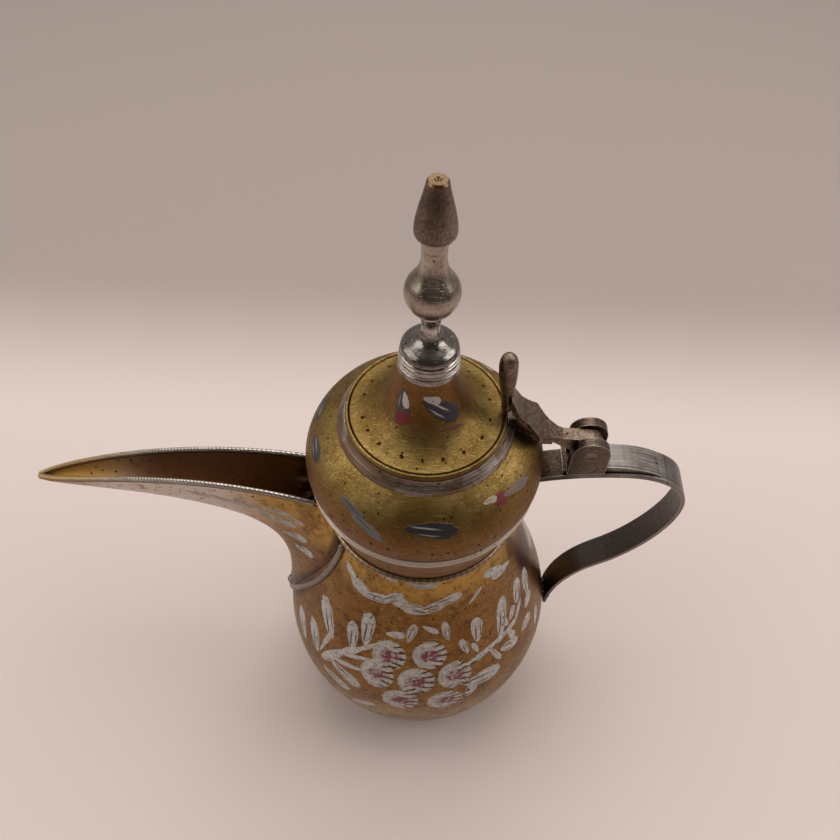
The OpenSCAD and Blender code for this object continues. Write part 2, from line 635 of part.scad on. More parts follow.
// The thumb piece is turned about its own leaning axis, grown by g
module thumb_solid(g) {
    flank = [[thumb_foot_r, 0.12 * thumb_l], [thumb_foot_r + 0.2, 0.42 * thumb_l],
        [thumb_r, 0.5 * thumb_l], [thumb_r, 0.8 * thumb_l]];
    top = [[thumb_r, 0.8 * thumb_l], [thumb_r, 0.93 * thumb_l], [0.72 * thumb_r, thumb_l], [0, thumb_l]];
    line = concat([[0.5 * thumb_foot_r, 0], [0.88 * thumb_foot_r, 0.03 * thumb_l]], curve(flank, 10), tail(curve(top, 8)));
    translate([thumb_foot[0], 0, thumb_foot[1]]) rotate([0, -thumb_lean, 0]) rotate_extrude($fn = 48)
        polygon(concat([[0, -g]], [for (p = line) [p[0] == 0 ? 0 : p[0] + g, p[1] + (p[1] == 0 ? -g : p[0] == 0 ? g : 0)]]));
}

module thumb_piece() {
    color(bronze) thumb_solid(0);
}

module lever_rivets() {
    head_z = -lid_t - 3 * seam;
    color(bronze) lever_rivet_places() {
        translate([0, 0, head_z]) cylinder(r = lever_rivet_r, h = 3.3 - head_z, $fn = 32);
        translate([0, 0, head_z - 0.8]) cylinder(r = lever_rivet_r + 0.9, h = 0.8, $fn = 32);
    }
}

bowl_shell();
base_disc();
collar_shell();
joint_ring();
mouth_hoop();
spout_shell();
spout_edge_wire();
handle_strap();
handle_rivets();
hinge_bracket();
hinge_pin();
lid_dome();
lid_plug();
lid_band();
lid_crown();
finial_cup();
finial_knop();
finial_tip();
finial_rod();
rod_washer();
rod_nut();
lid_lever();
thumb_piece();
lever_rivets();
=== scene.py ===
import json
import math

import bpy
from mathutils import Matrix, Vector


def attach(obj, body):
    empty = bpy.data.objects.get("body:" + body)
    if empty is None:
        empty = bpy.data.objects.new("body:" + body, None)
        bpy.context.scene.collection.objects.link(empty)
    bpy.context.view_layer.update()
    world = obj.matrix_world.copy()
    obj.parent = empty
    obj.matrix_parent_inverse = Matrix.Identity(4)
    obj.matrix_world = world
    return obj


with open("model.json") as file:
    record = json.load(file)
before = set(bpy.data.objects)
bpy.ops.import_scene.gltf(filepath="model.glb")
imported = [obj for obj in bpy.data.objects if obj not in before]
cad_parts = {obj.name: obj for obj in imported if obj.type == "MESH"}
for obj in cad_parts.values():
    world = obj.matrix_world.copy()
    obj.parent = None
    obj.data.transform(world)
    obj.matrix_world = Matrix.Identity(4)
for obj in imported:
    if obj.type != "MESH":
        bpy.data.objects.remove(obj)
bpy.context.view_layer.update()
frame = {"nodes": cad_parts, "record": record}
nodes = frame["nodes"]
scene = bpy.context.scene
MM = 0.001
SOFT = {"interpolation_type": "SMOOTHSTEP", "clamp": False}
COLOUR = {"data_type": "RGBA"}
# The camera stands above the pot's near side, turned a little about its own line of sight. Its focal length
# and its square frame are in pixels.
CAMERA_PLACE = (
    Matrix.Translation((-0.00228, -0.18623, 0.45053))
    @ Matrix.Rotation(math.radians(90 - 53.3), 4, "X")
    @ Matrix.Rotation(math.radians(2.37), 4, "Z")
)
FOCUS = 820
FRAME_SIZE = 840


def linear(code):
    """A colour written as sRGB hex, as linear red, green, blue and alpha."""
    parts = [int(code[i : i + 2], 16) / 255 for i in (0, 2, 4)]
    return [p / 12.92 if p <= 0.04045 else ((p + 0.055) / 1.055) ** 2.4 for p in parts] + [1.0]


def add(tree, kind, sockets=None, **settings):
    """Adds a node. A socket takes a hex colour, number, output, or node, whose first live output it uses."""
    node = tree.nodes.new(kind if kind.startswith("Node") else "ShaderNode" + kind)
    for key, value in settings.items():
        setattr(node, key, value)
    for key, value in (sockets or {}).items():
        if isinstance(value, bpy.types.Node):
            value = next(o for o in value.outputs if o.enabled)
        if isinstance(value, bpy.types.NodeSocket):
            tree.links.new(value, node.inputs[key])
        else:
            node.inputs[key].default_value = linear(value) if isinstance(value, str) else value
    return node


def new_finish(name):
    """An empty material, its tree, its Object coordinates in millimetres, and old metal's wear and painted
    corner shade on them.
    """
    made = bpy.data.materials.new(name)
    made.use_nodes = True
    tree = made.node_tree
    tree.nodes.clear()
    place = add(tree, "TexCoord").outputs["Object"]
    mm = add(tree, "VectorMath", {0: place, "Scale": 1 / MM}, operation="SCALE")
    return made, tree, mm, add(tree, "Group", {0: mm}, node_tree=old_metal_and_shade).outputs


def polish(tree, colour, metal, roughness, relief, depth):
    """Ends a material. The relief is bumped to a depth in millimetres."""
    bump = add(tree, "Bump", {"Strength": 1.0, "Distance": depth * MM, "Height": relief})
    skin = {"Base Color": colour, "Metallic": metal, "Roughness": roughness, "Normal": bump}
    add(tree, "OutputMaterial", {"Surface": add(tree, "BsdfPrincipled", skin)})


def new_group(name, inputs, outputs):
    """An empty node group whose sockets are named numbers, and the outputs and inputs at its two ends."""
    group = bpy.data.node_groups.new(name, "ShaderNodeTree")
    for way, keys in (("INPUT", inputs), ("OUTPUT", outputs)):
        for key in keys:
            kind = "NodeSocketVector" if key == "Place" else "NodeSocketFloat"
            group.interface.new_socket(key, in_out=way, socket_type=kind)
    return group, add(group, "NodeGroupInput").outputs


# ---------------------------------------------------------------- wear, painted corner shade and ornament shared by the finishes

# Old metal: tarnish 15 mm across, stains of 4 mm, grain of 0.8 mm, hair scratches 14 mm long, black pits
# under 1 mm, and painted shade that darkens within 3 mm of a corner
WEAR_AND_SHADE = ("Tarnish", "Stain", "Grain", "Scratch", "Pits", "CornerShade")
old_metal_and_shade, ends = new_group("old_metal_and_shade", ("Place",), WEAR_AND_SHADE)
broad = add(old_metal_and_shade, "TexNoise", {"Vector": ends[0], "Scale": 1 / 15, "Detail": 5.0, "Roughness": 0.6})
patch = add(old_metal_and_shade, "TexNoise", {"Vector": ends[0], "Scale": 1 / 4, "Detail": 4.0, "Roughness": 0.65})
grain = add(old_metal_and_shade, "TexNoise", {"Vector": ends[0], "Scale": 1 / 0.8, "Detail": 3.0, "Roughness": 0.65})
drawn_out = {"Vector": ends[0], "Rotation": (0.4, 0.9, 0.3), "Scale": (0.07, 1.6, 1.6)}
drawn_out = add(old_metal_and_shade, "Mapping", drawn_out)
hair = add(old_metal_and_shade, "TexNoise", {"Vector": drawn_out, "Scale": 1.0, "Detail": 2.0})
cells = add(old_metal_and_shade, "TexVoronoi", {"Vector": ends[0], "Scale": 1 / 2.6, "Randomness": 1.0})
pick = add(old_metal_and_shade, "SeparateColor", {"Color": cells.outputs["Color"]})
size = add(old_metal_and_shade, "MapRange", {0: pick, 1: 0.4, 2: 1.0, 3: 0.0, 4: 0.2}, **SOFT)
# Painted shade: ambient occlusion darkens the colour within 3 mm of a corner
corner = add(old_metal_and_shade, "AmbientOcclusion", {"Distance": 3 * MM}, samples=4).outputs["AO"]
add(
    old_metal_and_shade, "NodeGroupOutput",
    {
        "CornerShade": add(old_metal_and_shade, "MapRange", {0: corner, 1: 0.35, 2: 0.85, 3: 0.8, 4: 0.0}, **SOFT),
        "Tarnish": add(old_metal_and_shade, "MapRange", {0: broad, 1: 0.38, 2: 0.62, 3: 0.0, 4: 1.0}, **SOFT),
        "Stain": add(old_metal_and_shade, "MapRange", {0: patch, 1: 0.5, 2: 0.66, 3: 0.0, 4: 1.0}, **SOFT),
        "Grain": grain,
        "Scratch": add(old_metal_and_shade, "MapRange", {0: hair, 1: 0.6, 2: 0.68, 3: 0.0, 4: 1.0}, **SOFT),
        "Pits": add(old_metal_and_shade, "Math", {0: cells.outputs["Distance"], 1: size}, operation="LESS_THAN"),
    },
)

# One brush stroke of enamel, in units of its half length and half width: narrow at its start, frayed at its
# edge, with veins scratched along it
petal, ends = new_group("petal", ("Along", "Across", "Fray", "Veined"), ("Paint", "Veins"))
slim = add(petal, "MapRange", {0: ends["Along"], 1: -1.2, 2: 0.6, 3: 0.55, 4: 1.0}, **SOFT)
side = add(petal, "Math", {0: ends["Across"], 1: slim}, operation="DIVIDE")
tip = add(petal, "Math", {0: ends["Along"]}, operation="ABSOLUTE")
tip = add(petal, "Math", {0: tip, 1: 2.6}, operation="POWER")
reach = add(petal, "Math", {0: side, 1: side, 2: tip}, operation="MULTIPLY_ADD")
reach = add(petal, "Math", {0: reach}, operation="SQRT")
loose = add(petal, "Math", {0: ends["Fray"], 1: 0.5}, operation="SUBTRACT")
frayed = add(petal, "Math", {0: loose, 1: 0.7, 2: reach}, operation="MULTIPLY_ADD")
rows = add(petal, "Math", {0: ends["Across"], 1: 8.5}, operation="MULTIPLY")
rows = add(petal, "Math", {0: ends["Along"], 1: 0.8, 2: rows}, operation="MULTIPLY_ADD")
rows = add(petal, "Math", {0: rows}, operation="SINE")
rows = add(petal, "Math", {0: ends["Fray"], 1: 0.5, 2: rows}, operation="MULTIPLY_ADD")
veins = add(petal, "MapRange", {0: rows, 1: 0.82, 2: 1.12, 3: 0.0, 4: ends["Veined"]}, **SOFT)
inner = add(petal, "MapRange", {0: reach, 1: 0.55, 2: 0.86, 3: 1.0, 4: 0.0}, **SOFT)
veins = add(petal, "Math", {0: veins, 1: inner}, operation="MULTIPLY")
early = add(petal, "MapRange", {0: ends["Along"], 1: -0.1, 2: 0.5, 3: 1.0, 4: 0.0}, **SOFT)
add(
    petal, "NodeGroupOutput",
    {
        "Paint": add(petal, "MapRange", {0: frayed, 1: 0.9, 2: 1.0, 3: 1.0, 4: 0.0}, **SOFT),
        "Veins": add(petal, "Math", {0: veins, 1: early}, operation="MULTIPLY"),
    },
)

# One round flower in the same units: a white disc, its right half combed through in fine lines that fan out,
# with a crimson scribble in the middle
flower, ends = new_group("flower", ("Along", "Across", "Fray"), ("Paint", "Comb", "Heart"))
flat_across = add(flower, "Math", {0: ends["Across"], 1: ends["Across"]}, operation="MULTIPLY")
reach = add(flower, "Math", {0: ends["Along"], 1: ends["Along"], 2: flat_across}, operation="MULTIPLY_ADD")
reach = add(flower, "Math", {0: reach}, operation="SQRT")
loose = add(flower, "Math", {0: ends["Fray"], 1: 0.5}, operation="SUBTRACT")
frayed = add(flower, "Math", {0: loose, 1: 0.45, 2: reach}, operation="MULTIPLY_ADD")
fan = add(flower, "Math", {0: ends["Along"], 1: 1.7}, operation="ADD")
fan = add(flower, "Math", {0: ends["Across"], 1: fan}, operation="ARCTAN2")
sway = add(flower, "Math", {0: ends["Fray"], 1: 5.0}, operation="MULTIPLY")
fan = add(flower, "Math", {0: fan, 1: 38.0, 2: sway}, operation="MULTIPLY_ADD")
fan = add(flower, "Math", {0: fan}, operation="SINE")
teeth = add(flower, "MapRange", {0: fan, 1: 0.3, 2: 0.8, 3: 0.0, 4: 1.0}, **SOFT)
right = add(flower, "Math", {0: ends["Fray"], 1: 0.8, 2: ends["Along"]}, operation="MULTIPLY_ADD")
right = add(flower, "MapRange", {0: right, 1: 0.45, 2: 0.75, 3: 0.0, 4: 1.0}, **SOFT)
wide = add(flower, "Math", {0: ends["Along"], 1: 0.7}, operation="MULTIPLY")
heart = add(flower, "Math", {0: wide, 1: wide, 2: flat_across}, operation="MULTIPLY_ADD")
heart = add(flower, "Math", {0: heart}, operation="SQRT")
heart = add(flower, "MapRange", {0: heart, 1: 0.3, 2: 0.46, 3: 1.0, 4: 0.0}, **SOFT)
scribble = add(flower, "MapRange", {0: ends["Fray"], 1: 0.44, 2: 0.52, 3: 0.0, 4: 1.0}, **SOFT)
add(
    flower, "NodeGroupOutput",
    {
        "Paint": add(flower, "MapRange", {0: frayed, 1: 0.92, 2: 1.0, 3: 1.0, 4: 0.0}, **SOFT),
        "Comb": add(flower, "Math", {0: teeth, 1: right}, operation="MULTIPLY"),
        "Heart": add(flower, "Math", {0: heart, 1: scribble}, operation="MULTIPLY"),
    },
)


def mirrored_place(tree, mm):
    """The place, mirrored if on the far side, so that both sides carry the same ornament."""
    split = add(tree, "SeparateXYZ", {0: mm}).outputs
    near_y = add(tree, "Math", {0: split[1]}, operation="ABSOLUTE")
    near_y = add(tree, "Math", {0: near_y, 1: -1.0}, operation="MULTIPLY")
    return add(tree, "CombineXYZ", {0: split[0], 1: near_y, 2: split[2]})


def around(angle, height):
    """A place on the bowl's wall. The angle is 0 at the near side and grows towards the handle."""
    a = math.radians(angle)
    found, place, _, _ = nodes["bowl_shell"].ray_cast(
        Vector((150 * math.sin(a), -150 * math.cos(a), height)) * MM, Vector((-math.sin(a), math.cos(a), 0))
    )
    if not found:
        raise ValueError(f"no wall at {angle}, {height}")
    return place


def seen(node, u, v):
    """The place and normal that the camera sees on a node at a point of its frame, u right and v down."""
    ray = CAMERA_PLACE.to_3x3() @ Vector((u - FRAME_SIZE / 2, FRAME_SIZE / 2 - v, -FOCUS)).normalized()
    found, place, normal, _ = nodes[node].ray_cast(CAMERA_PLACE.translation, ray)
    if not found:
        raise ValueError(f"{node} isn't seen at {u}, {v}")
    return place, normal


def turned(node, place, turn):
    """A stroke's lie at the place on a node nearest to its middle. A turn of 0 runs level to the right."""
    _, place, normal, _ = nodes[node].closest_point_on_mesh(place)
    level = Vector((0, 0, 1)).cross(normal).normalized()
    a = math.radians(turn)
    return place, normal, level * math.cos(a) + normal.cross(level) * math.sin(a)


def drawn(node, u0, v0, u1, v1):
    """A stroke's lie where it is drawn on a node from one point of the camera's frame to another."""
    place, normal = seen(node, (u0 + u1) / 2, (v0 + v1) / 2)
    run = seen(node, u1, v1)[0] - seen(node, u0, v0)[0]
    return place, normal, (run - normal * run.dot(normal)).normalized()


def brush(tree, group, place_mm, lie, length, width, sockets):
    """A petal or flower. Its lie is its middle, its surface's normal there and its own direction."""
    place, normal, x = lie
    apart = add(tree, "VectorMath", {0: place_mm, 1: place / MM}, operation="SUBTRACT")
    far = add(tree, "VectorMath", {0: apart}, operation="LENGTH").outputs["Value"]
    near = add(tree, "Math", {0: far, 1: 0.6 * length + 2}, operation="LESS_THAN")
    along, across = (
        add(tree, "VectorMath", {0: apart, 1: axis * (2 / size)}, operation="DOT_PRODUCT").outputs["Value"]
        for axis, size in ((x, length), (normal.cross(x), width))
    )
    made = add(tree, "Group", {"Along": along, "Across": across, **sockets}, node_tree=group)
    return [add(tree, "Math", {0: out, 1: near}, operation="MULTIPLY") for out in made.outputs]


# u and v of both ends, length, width, veined: the sprays of leaves at left and right with their branches,
# and the ends of the swag under the neck. A stroke is narrow at its first end.
LEAVES = (
    (305, 638, 301, 607, 19, 8.6, 1), (317, 651, 313, 619, 20, 7.8, 1), (331, 637, 325, 598, 23, 9.2, 1),
    (319, 651, 333, 630, 23, 3.0, 0), (352, 649, 353, 622, 18, 6.8, 1), (365, 646, 370, 613, 22, 7.4, 1),
    (346, 651, 320, 658, 24, 6.0, 0), (362, 649, 343, 652, 15, 4.8, 0), (382, 643, 358, 650, 16, 2.8, 0),
    (374, 661, 342, 654, 20, 3.0, 0), (364, 672, 334, 659, 20, 3.6, 0), (332, 662, 358, 687, 19, 8.4, 1),
    (324, 667, 348, 690, 18, 7.4, 1), (374, 705, 353, 700, 16, 5.4, 0), (387, 634, 404, 636, 9, 5.0, 0),
    (408, 642, 415, 625, 12, 4.8, 1), (424, 627, 438, 633, 9, 3.4, 0), (448, 641, 444, 622, 13, 4.0, 1),
    (468, 653, 461, 640, 11, 4.2, 1), (478, 651, 473, 644, 8, 3.0, 0), (478, 641, 476, 618, 16, 6.8, 1),
    (501, 637, 502, 598, 25, 7.2, 1), (503, 636, 466, 668, 24, 4.4, 0), (502, 638, 516, 619, 13, 3.8, 0),
    (515, 622, 520, 600, 13, 3.2, 0), (526, 605, 529, 592, 9, 6.8, 0), (523, 629, 529, 614, 10, 8.0, 1),
    (502, 649, 517, 640, 13, 7.4, 1), (489, 648, 502, 659, 14, 3.4, 1), (467, 685, 499, 668, 20, 11.6, 1),
    (467, 696, 474, 684, 11, 6.4, 0), (535, 624, 536, 605, 12, 5.0, 0), (437, 605, 460, 595, 13, 6.0, 1),
    (409, 584, 435, 586, 14, 5.4, 1), (501, 567, 486, 575, 13, 5.4, 0), (509, 562, 494, 578, 14, 5.2, 0),
    (379, 574, 396, 581, 10, 3.4, 0), (470, 603, 481, 588, 10, 2.2, 0),
)
# angle, height, length, width, turn, veined: the rest of the swag, two leaves by the handle, and a rosette
# on the right branch
SWAG = (
    (-41.6, 129.8, 14, 4.4, 150, 0), (-34.0, 126.6, 14, 7.4, 160, 0), (-24.0, 126.4, 13, 6.0, 14, 1),
    (-15.0, 129.0, 12, 5.6, 38, 1), (-8.5, 127.2, 13, 7.0, 148, 0), (-0.5, 124.8, 13, 7.2, 170, 1),
    (8.4, 125.8, 13, 6.0, 21, 1), (62.0, 106.0, 14, 7.2, 64, 1), (71.3, 101.4, 16, 7.6, 74, 1),
    (48.0, 98.5, 8, 4.6, 110, 0), (54.0, 99.0, 8, 4.4, 50, 0), (44.0, 92.0, 8, 4.4, 190, 0),
    (50.0, 88.0, 8, 4.6, -70, 0),
)
# u, v, length, width, turn: the leaves on the spout's side
SPOUT_LEAVES = (
    (251, 507, 13, 5.0, -36), (276, 511.5, 13, 4.6, -20), (283, 522, 13, 6.0, -26),
    (295.5, 536, 13, 6.8, 3), (304.5, 550.5, 11, 6.6, 6),
)
# x, y, z, length, width, turn: the rest of the leaves there
SPOUT_TRAIL = (
    (-66.5, -10.2, 141.6, 12, 4.4, -40), (-84.0, -9.8, 151.5, 14, 3.6, -30),
    (-55.0, -12.0, 139.5, 10, 4.0, -22), (-94.0, -9.4, 154.0, 12, 2.8, -24),
)
# u, v, width, height along the wall
FLOWERS = (
    (389, 656, 16.0, 20.0), (377, 674, 16.6, 20.5), (416, 682, 17.4, 19.5), (430, 656, 16.0, 18.0),
    (455, 675, 16.6, 19.5), (400, 700, 18.0, 17.0), (445, 700, 17.6, 15.5),
)
# The spout's root on the bowl's near wall, from the collar down to a rounded lip under the keel
ROOT_LINE = (
    (-32.8, -21.9, 139.4), (-35.3, -22.8, 129.8), (-38.4, -23.4, 121.4), (-42.0, -23.4, 113.2),
    (-45.8, -22.7, 105.4), (-50.4, -20.7, 96.7), (-56.9, -16.1, 83.5), (-61.4, -10.6, 71.6),
    (-64.0, -5.2, 61.8), (-65.0, -1.0, 57.6),
)
# node, u, v, length, width, turn, veined, colour, colour of its veins: dark leaves, crimson fruit and grey
# strokes
LID_DAUBS = (
    ("lid_crown", 403, 404, 14, 7.0, -80, 1, "34302e", "8e8780"),
    ("lid_crown", 405.5, 400, 7, 3.4, -70, 0, "b9b3ac", "b9b3ac"),
    ("lid_crown", 401, 418, 7, 5.4, 41, 0, "6e0f16", "c9c3bb"),
    ("lid_crown", 442, 410, 17, 8.0, -40, 1, "252529", "b9b3ac"),
    ("lid_crown", 432.5, 400.5, 7, 4.0, -20, 0, "b9b3ac", "b9b3ac"),
    ("lid_crown", 453.5, 427.5, 9, 1.8, -12, 0, "56301e", "c9c3bb"),
    ("lid_dome", 431.5, 531, 20, 7.4, -6, 1, "1c1c20", "8f8984"),
    ("lid_dome", 499.5, 499, 7, 6.4, -24, 1, "6e0c1c", "3c0a10"),
    ("lid_dome", 490.5, 500.5, 6, 3.0, -6, 1, "a89a86", "4a1a14"),
    ("lid_dome", 352.5, 510, 15, 4.4, -16, 1, "57524e", "262320"),
    ("lid_dome", 365.5, 527, 16, 4.8, -19, 1, "6a635d", "262320"),
    ("lid_dome", 315.5, 448, 13, 6.0, -4, 1, "2a2b30", "8a857f"),
    ("lid_dome", 517, 486.5, 15, 4.6, -13, 1, "6c5c58", "8a6a40"),
)

# ---------------------------------------------------------------- finishes

# Lacquered raised brass: brown-orange where the lacquer has aged, golden under the collar, pale where the
# foot is rubbed and greyed with old tin along the spout, with small black pits; white enamel flowers and
# leaves stand on it
bowl_brass, tree, mm, old = new_finish("aged_lacquered_brass_with_enamel")
x_mm, y_mm, z_mm = add(tree, "SeparateXYZ", {0: mm}).outputs
folded = mirrored_place(tree, mm)
mottle = add(tree, "MapRange", {0: old["Grain"], 1: 0.35, 2: 0.65, 3: 0.0, 4: 0.5}, **SOFT)
brass = add(tree, "Mix", {0: old["Tarnish"], 6: "754e26", 7: "916c38"}, **COLOUR)
brass = add(tree, "Mix", {0: mottle, 6: brass, 7: "7d5a30"}, **COLOUR)
under_neck = add(tree, "MapRange", {0: z_mm, 1: 122.0, 2: 138.0, 3: 0.0, 4: 1.0}, **SOFT)
patchy = add(tree, "MapRange", {0: old["Tarnish"], 1: 0.1, 2: 0.6, 3: 0.35, 4: 1.0}, **SOFT)
under_neck = add(tree, "Math", {0: under_neck, 1: patchy}, operation="MULTIPLY")
brass = add(tree, "Mix", {0: under_neck, 6: brass, 7: "b08a44"}, **COLOUR)
stained = add(tree, "Math", {0: old["Stain"], 1: 0.55}, operation="MULTIPLY")
brass = add(tree, "Mix", {0: stained, 6: brass, 7: "452a12"}, **COLOUR)
# The foot is rubbed pale in patches, up to a ragged line about 50 mm up and 30 mm deep
rub = add(tree, "Math", {0: old["Grain"], 1: 30.0, 2: z_mm}, operation="MULTIPLY_ADD")
rub = add(tree, "MapRange", {0: rub, 1: 38.0, 2: 90.0, 3: 0.8, 4: 0.0}, **SOFT)
patches = add(tree, "MapRange", {0: old["Tarnish"], 1: 0.0, 2: 1.0, 3: 0.55, 4: 1.0}, **SOFT)
patches = add(tree, "Math", {0: old["Stain"], 1: -0.5, 2: patches}, operation="MULTIPLY_ADD")
rub = add(tree, "Math", {0: rub, 1: patches}, operation="MULTIPLY")
brass = add(tree, "Mix", {0: rub, 6: brass, 7: "c0b398"}, **COLOUR)
# By the handle's root a painted reflection lightens the far shoulder grey, 12 mm round, and painted shade
# browns the near one
for place, tone in (((51.0, 13.0, 105.0), "c4bab2"), ((47.0, -3.5, 113.0), "4a332b")):
    far = add(tree, "VectorMath", {0: mm, 1: place}, operation="DISTANCE").outputs["Value"]
    far = add(tree, "Math", {0: old["Grain"], 1: 5.0, 2: far}, operation="MULTIPLY_ADD")
    painted_sheen_and_shade = add(tree, "MapRange", {0: far, 1: 12.0, 2: 18.0, 3: 0.85, 4: 0.0}, **SOFT)
    brass = add(tree, "Mix", {0: painted_sheen_and_shade, 6: brass, 7: tone}, **COLOUR)
# Painted shade: a dark band about 5 mm wide along the spout's side of the root
root_shade = 10.0
for start, stop in ((ROOT_LINE[0], ROOT_LINE[3]), (ROOT_LINE[3], ROOT_LINE[6]), (ROOT_LINE[6], ROOT_LINE[9])):
    run = Vector(stop) - Vector(start)
    apart = add(tree, "VectorMath", {0: folded, 1: start}, operation="SUBTRACT")
    unit = run / run.length_squared
    share = add(tree, "VectorMath", {0: apart, 1: unit}, operation="DOT_PRODUCT").outputs["Value"]
    share = add(tree, "Math", {0: share, 1: 0.0}, operation="MAXIMUM")
    share = add(tree, "Math", {0: share, 1: 1.0}, operation="MINIMUM")
    foot = add(tree, "VectorMath", {0: run, "Scale": share}, operation="SCALE")
    far = add(tree, "VectorMath", {0: apart, 1: foot}, operation="DISTANCE").outputs["Value"]
    root_shade = add(tree, "Math", {0: far, 1: root_shade}, operation="MINIMUM")
root_shade = add(tree, "MapRange", {0: root_shade, 1: 3.0, 2: 7.0, 3: 0.9, 4: 0.0}, **SOFT)
side = add(tree, "Math", {0: z_mm, 1: -0.4, 2: x_mm}, operation="MULTIPLY_ADD")
side = add(tree, "MapRange", {0: side, 1: -90.0, 2: -87.5, 3: 1.0, 4: 0.0}, **SOFT)
root_shade = add(tree, "Math", {0: root_shade, 1: side}, operation="MULTIPLY")
# The spout's tin starts 55 mm out and is worn through in patches
along_spout = add(tree, "Math", {0: old["Grain"], 1: 24.0, 2: x_mm}, operation="MULTIPLY_ADD")
tin = add(tree, "MapRange", {0: along_spout, 1: -76.0, 2: -48.0, 3: 0.95, 4: 0.0}, **SOFT)
patchy = add(tree, "MapRange", {0: old["Stain"], 1: 0.2, 2: 0.9, 3: 1.0, 4: 0.35}, **SOFT)
tin = add(tree, "Math", {0: tin, 1: patchy}, operation="MULTIPLY")
brass = add(tree, "Mix", {0: tin, 6: brass, 7: "c9bfb5"}, **COLOUR)
# The spout's tip is gold: rubbed brass and a painted highlight
at_tip = add(tree, "MapRange", {0: x_mm, 1: -158.0, 2: -128.0, 3: 0.8, 4: 0.0}, **SOFT)
brass = add(tree, "Mix", {0: at_tip, 6: brass, 7: "a08250"}, **COLOUR)
hairs = add(tree, "Math", {0: old["Scratch"], 1: 0.4}, operation="MULTIPLY")
brass = add(tree, "Mix", {0: hairs, 6: brass, 7: "c0a87c"}, **COLOUR)
brass = add(tree, "Mix", {0: root_shade, 6: brass, 7: "3d2618"}, **COLOUR)
# Inside the spout the face looks back across it, and coffee has browned the brass all but the tip
face = add(tree, "SeparateXYZ", {0: add(tree, "NewGeometry").outputs["Normal"]}).outputs
hand = add(tree, "Math", {0: y_mm}, operation="SIGN")
outward = add(tree, "Math", {0: face[1], 1: hand}, operation="MULTIPLY")
inside = add(tree, "Math", {0: face[2], 1: outward}, operation="SUBTRACT")
inside = add(tree, "MapRange", {0: inside, 1: 0.0, 2: 0.5, 3: 0.0, 4: 1.0}, **SOFT)
beyond = add(tree, "MapRange", {0: x_mm, 1: -58.0, 2: -52.0, 3: 1.0, 4: 0.0}, **SOFT)
inside = add(tree, "Math", {0: inside, 1: beyond}, operation="MULTIPLY")
# So has it the bowl's own wall where the spout covers it
near_keel = add(tree, "Math", {0: y_mm}, operation="ABSOLUTE")
near_keel = add(tree, "MapRange", {0: near_keel, 1: 8.0, 2: 10.0, 3: 1.0, 4: 0.0}, **SOFT)
covered = add(tree, "MapRange", {0: x_mm, 1: -34.0, 2: -30.0, 3: 1.0, 4: 0.0}, **SOFT)
covered = add(tree, "Math", {0: covered, 1: beyond}, operation="SUBTRACT")
covered = add(tree, "Math", {0: covered, 1: near_keel}, operation="MULTIPLY")
above_root = add(tree, "MapRange", {0: z_mm, 1: 94.0, 2: 98.0, 3: 0.0, 4: 1.0}, **SOFT)
inside = add(tree, "Math", {0: covered, 1: above_root, 2: inside}, operation="MULTIPLY_ADD")
coffee = add(tree, "MapRange", {0: x_mm, 1: -150.0, 2: -110.0, 3: 0.0, 4: 0.9}, **SOFT)
browned_and_shaded = add(tree, "Math", {0: inside, 1: coffee}, operation="MULTIPLY")
brass = add(tree, "Mix", {0: browned_and_shaded, 6: brass, 7: "8a5f38"}, **COLOUR)
# The tip's inside is bright: rubbed brass and a painted highlight
tip_rub_and_highlight = add(tree, "MapRange", {0: x_mm, 1: -145.0, 2: -118.0, 3: 0.85, 4: 0.0}, **SOFT)
tip_rub_and_highlight = add(tree, "Math", {0: tip_rub_and_highlight, 1: inside}, operation="MULTIPLY")
brass = add(tree, "Mix", {0: tip_rub_and_highlight, 6: brass, 7: "c4a676"}, **COLOUR)
# Painted shade darkens the corners, all but the tip's inside
away_from_tip = add(tree, "Math", {0: 1.0, 1: tip_rub_and_highlight}, operation="SUBTRACT")
corner_shade = add(tree, "Math", {0: old["CornerShade"], 1: away_from_tip}, operation="MULTIPLY")
brass = add(tree, "Mix", {0: corner_shade, 6: brass, 7: "3a2414"}, **COLOUR)

fray = add(tree, "TexNoise", {"Vector": mm, "Scale": 1 / 2.2, "Detail": 3.0, "Roughness": 0.65}).outputs[0]
paint, veins, heart = 0.0, 0.0, 0.0
strokes = [(drawn("bowl_shell", *row[:4]), *row[4:]) for row in LEAVES]
for angle, height, length, width, turn, veined in SWAG:
    strokes.append((turned("bowl_shell", around(angle, height), turn), length, width, veined))
for u, v, length, width, turn in SPOUT_LEAVES:
    strokes.append((turned("spout_shell", seen("spout_shell", u, v)[0], turn), length, width, 1))
for x, y, z, length, width, turn in SPOUT_TRAIL:
    strokes.append((turned("spout_shell", Vector((x, y, z)) * MM, turn), length, width, 1))
for lie, length, width, veined in strokes:
    leaf = brush(tree, petal, folded, lie, length, width, {"Fray": fray, "Veined": float(veined)})
    paint = add(tree, "Math", {0: leaf[0], 1: paint}, operation="MAXIMUM")
    veins = add(tree, "Math", {0: leaf[1], 1: veins}, operation="MAXIMUM")
for u, v, width, tall in FLOWERS:
    lie = turned("bowl_shell", seen("bowl_shell", u, v)[0], 0)
    disc = brush(tree, flower, folded, lie, width, tall, {"Fray": fray})
    # A flower covers the lines and the heart of the one painted before it
    clear = add(tree, "Math", {0: 1.0, 1: disc[0]}, operation="SUBTRACT")
    veins = add(tree, "Math", {0: veins, 1: clear}, operation="MULTIPLY")
    veins = add(tree, "Math", {0: veins, 1: disc[1]}, operation="MAXIMUM")
    heart = add(tree, "Math", {0: heart, 1: clear}, operation="MULTIPLY")
    heart = add(tree, "Math", {0: heart, 1: disc[2]}, operation="MAXIMUM")
    paint = add(tree, "Math", {0: disc[0], 1: paint}, operation="MAXIMUM")
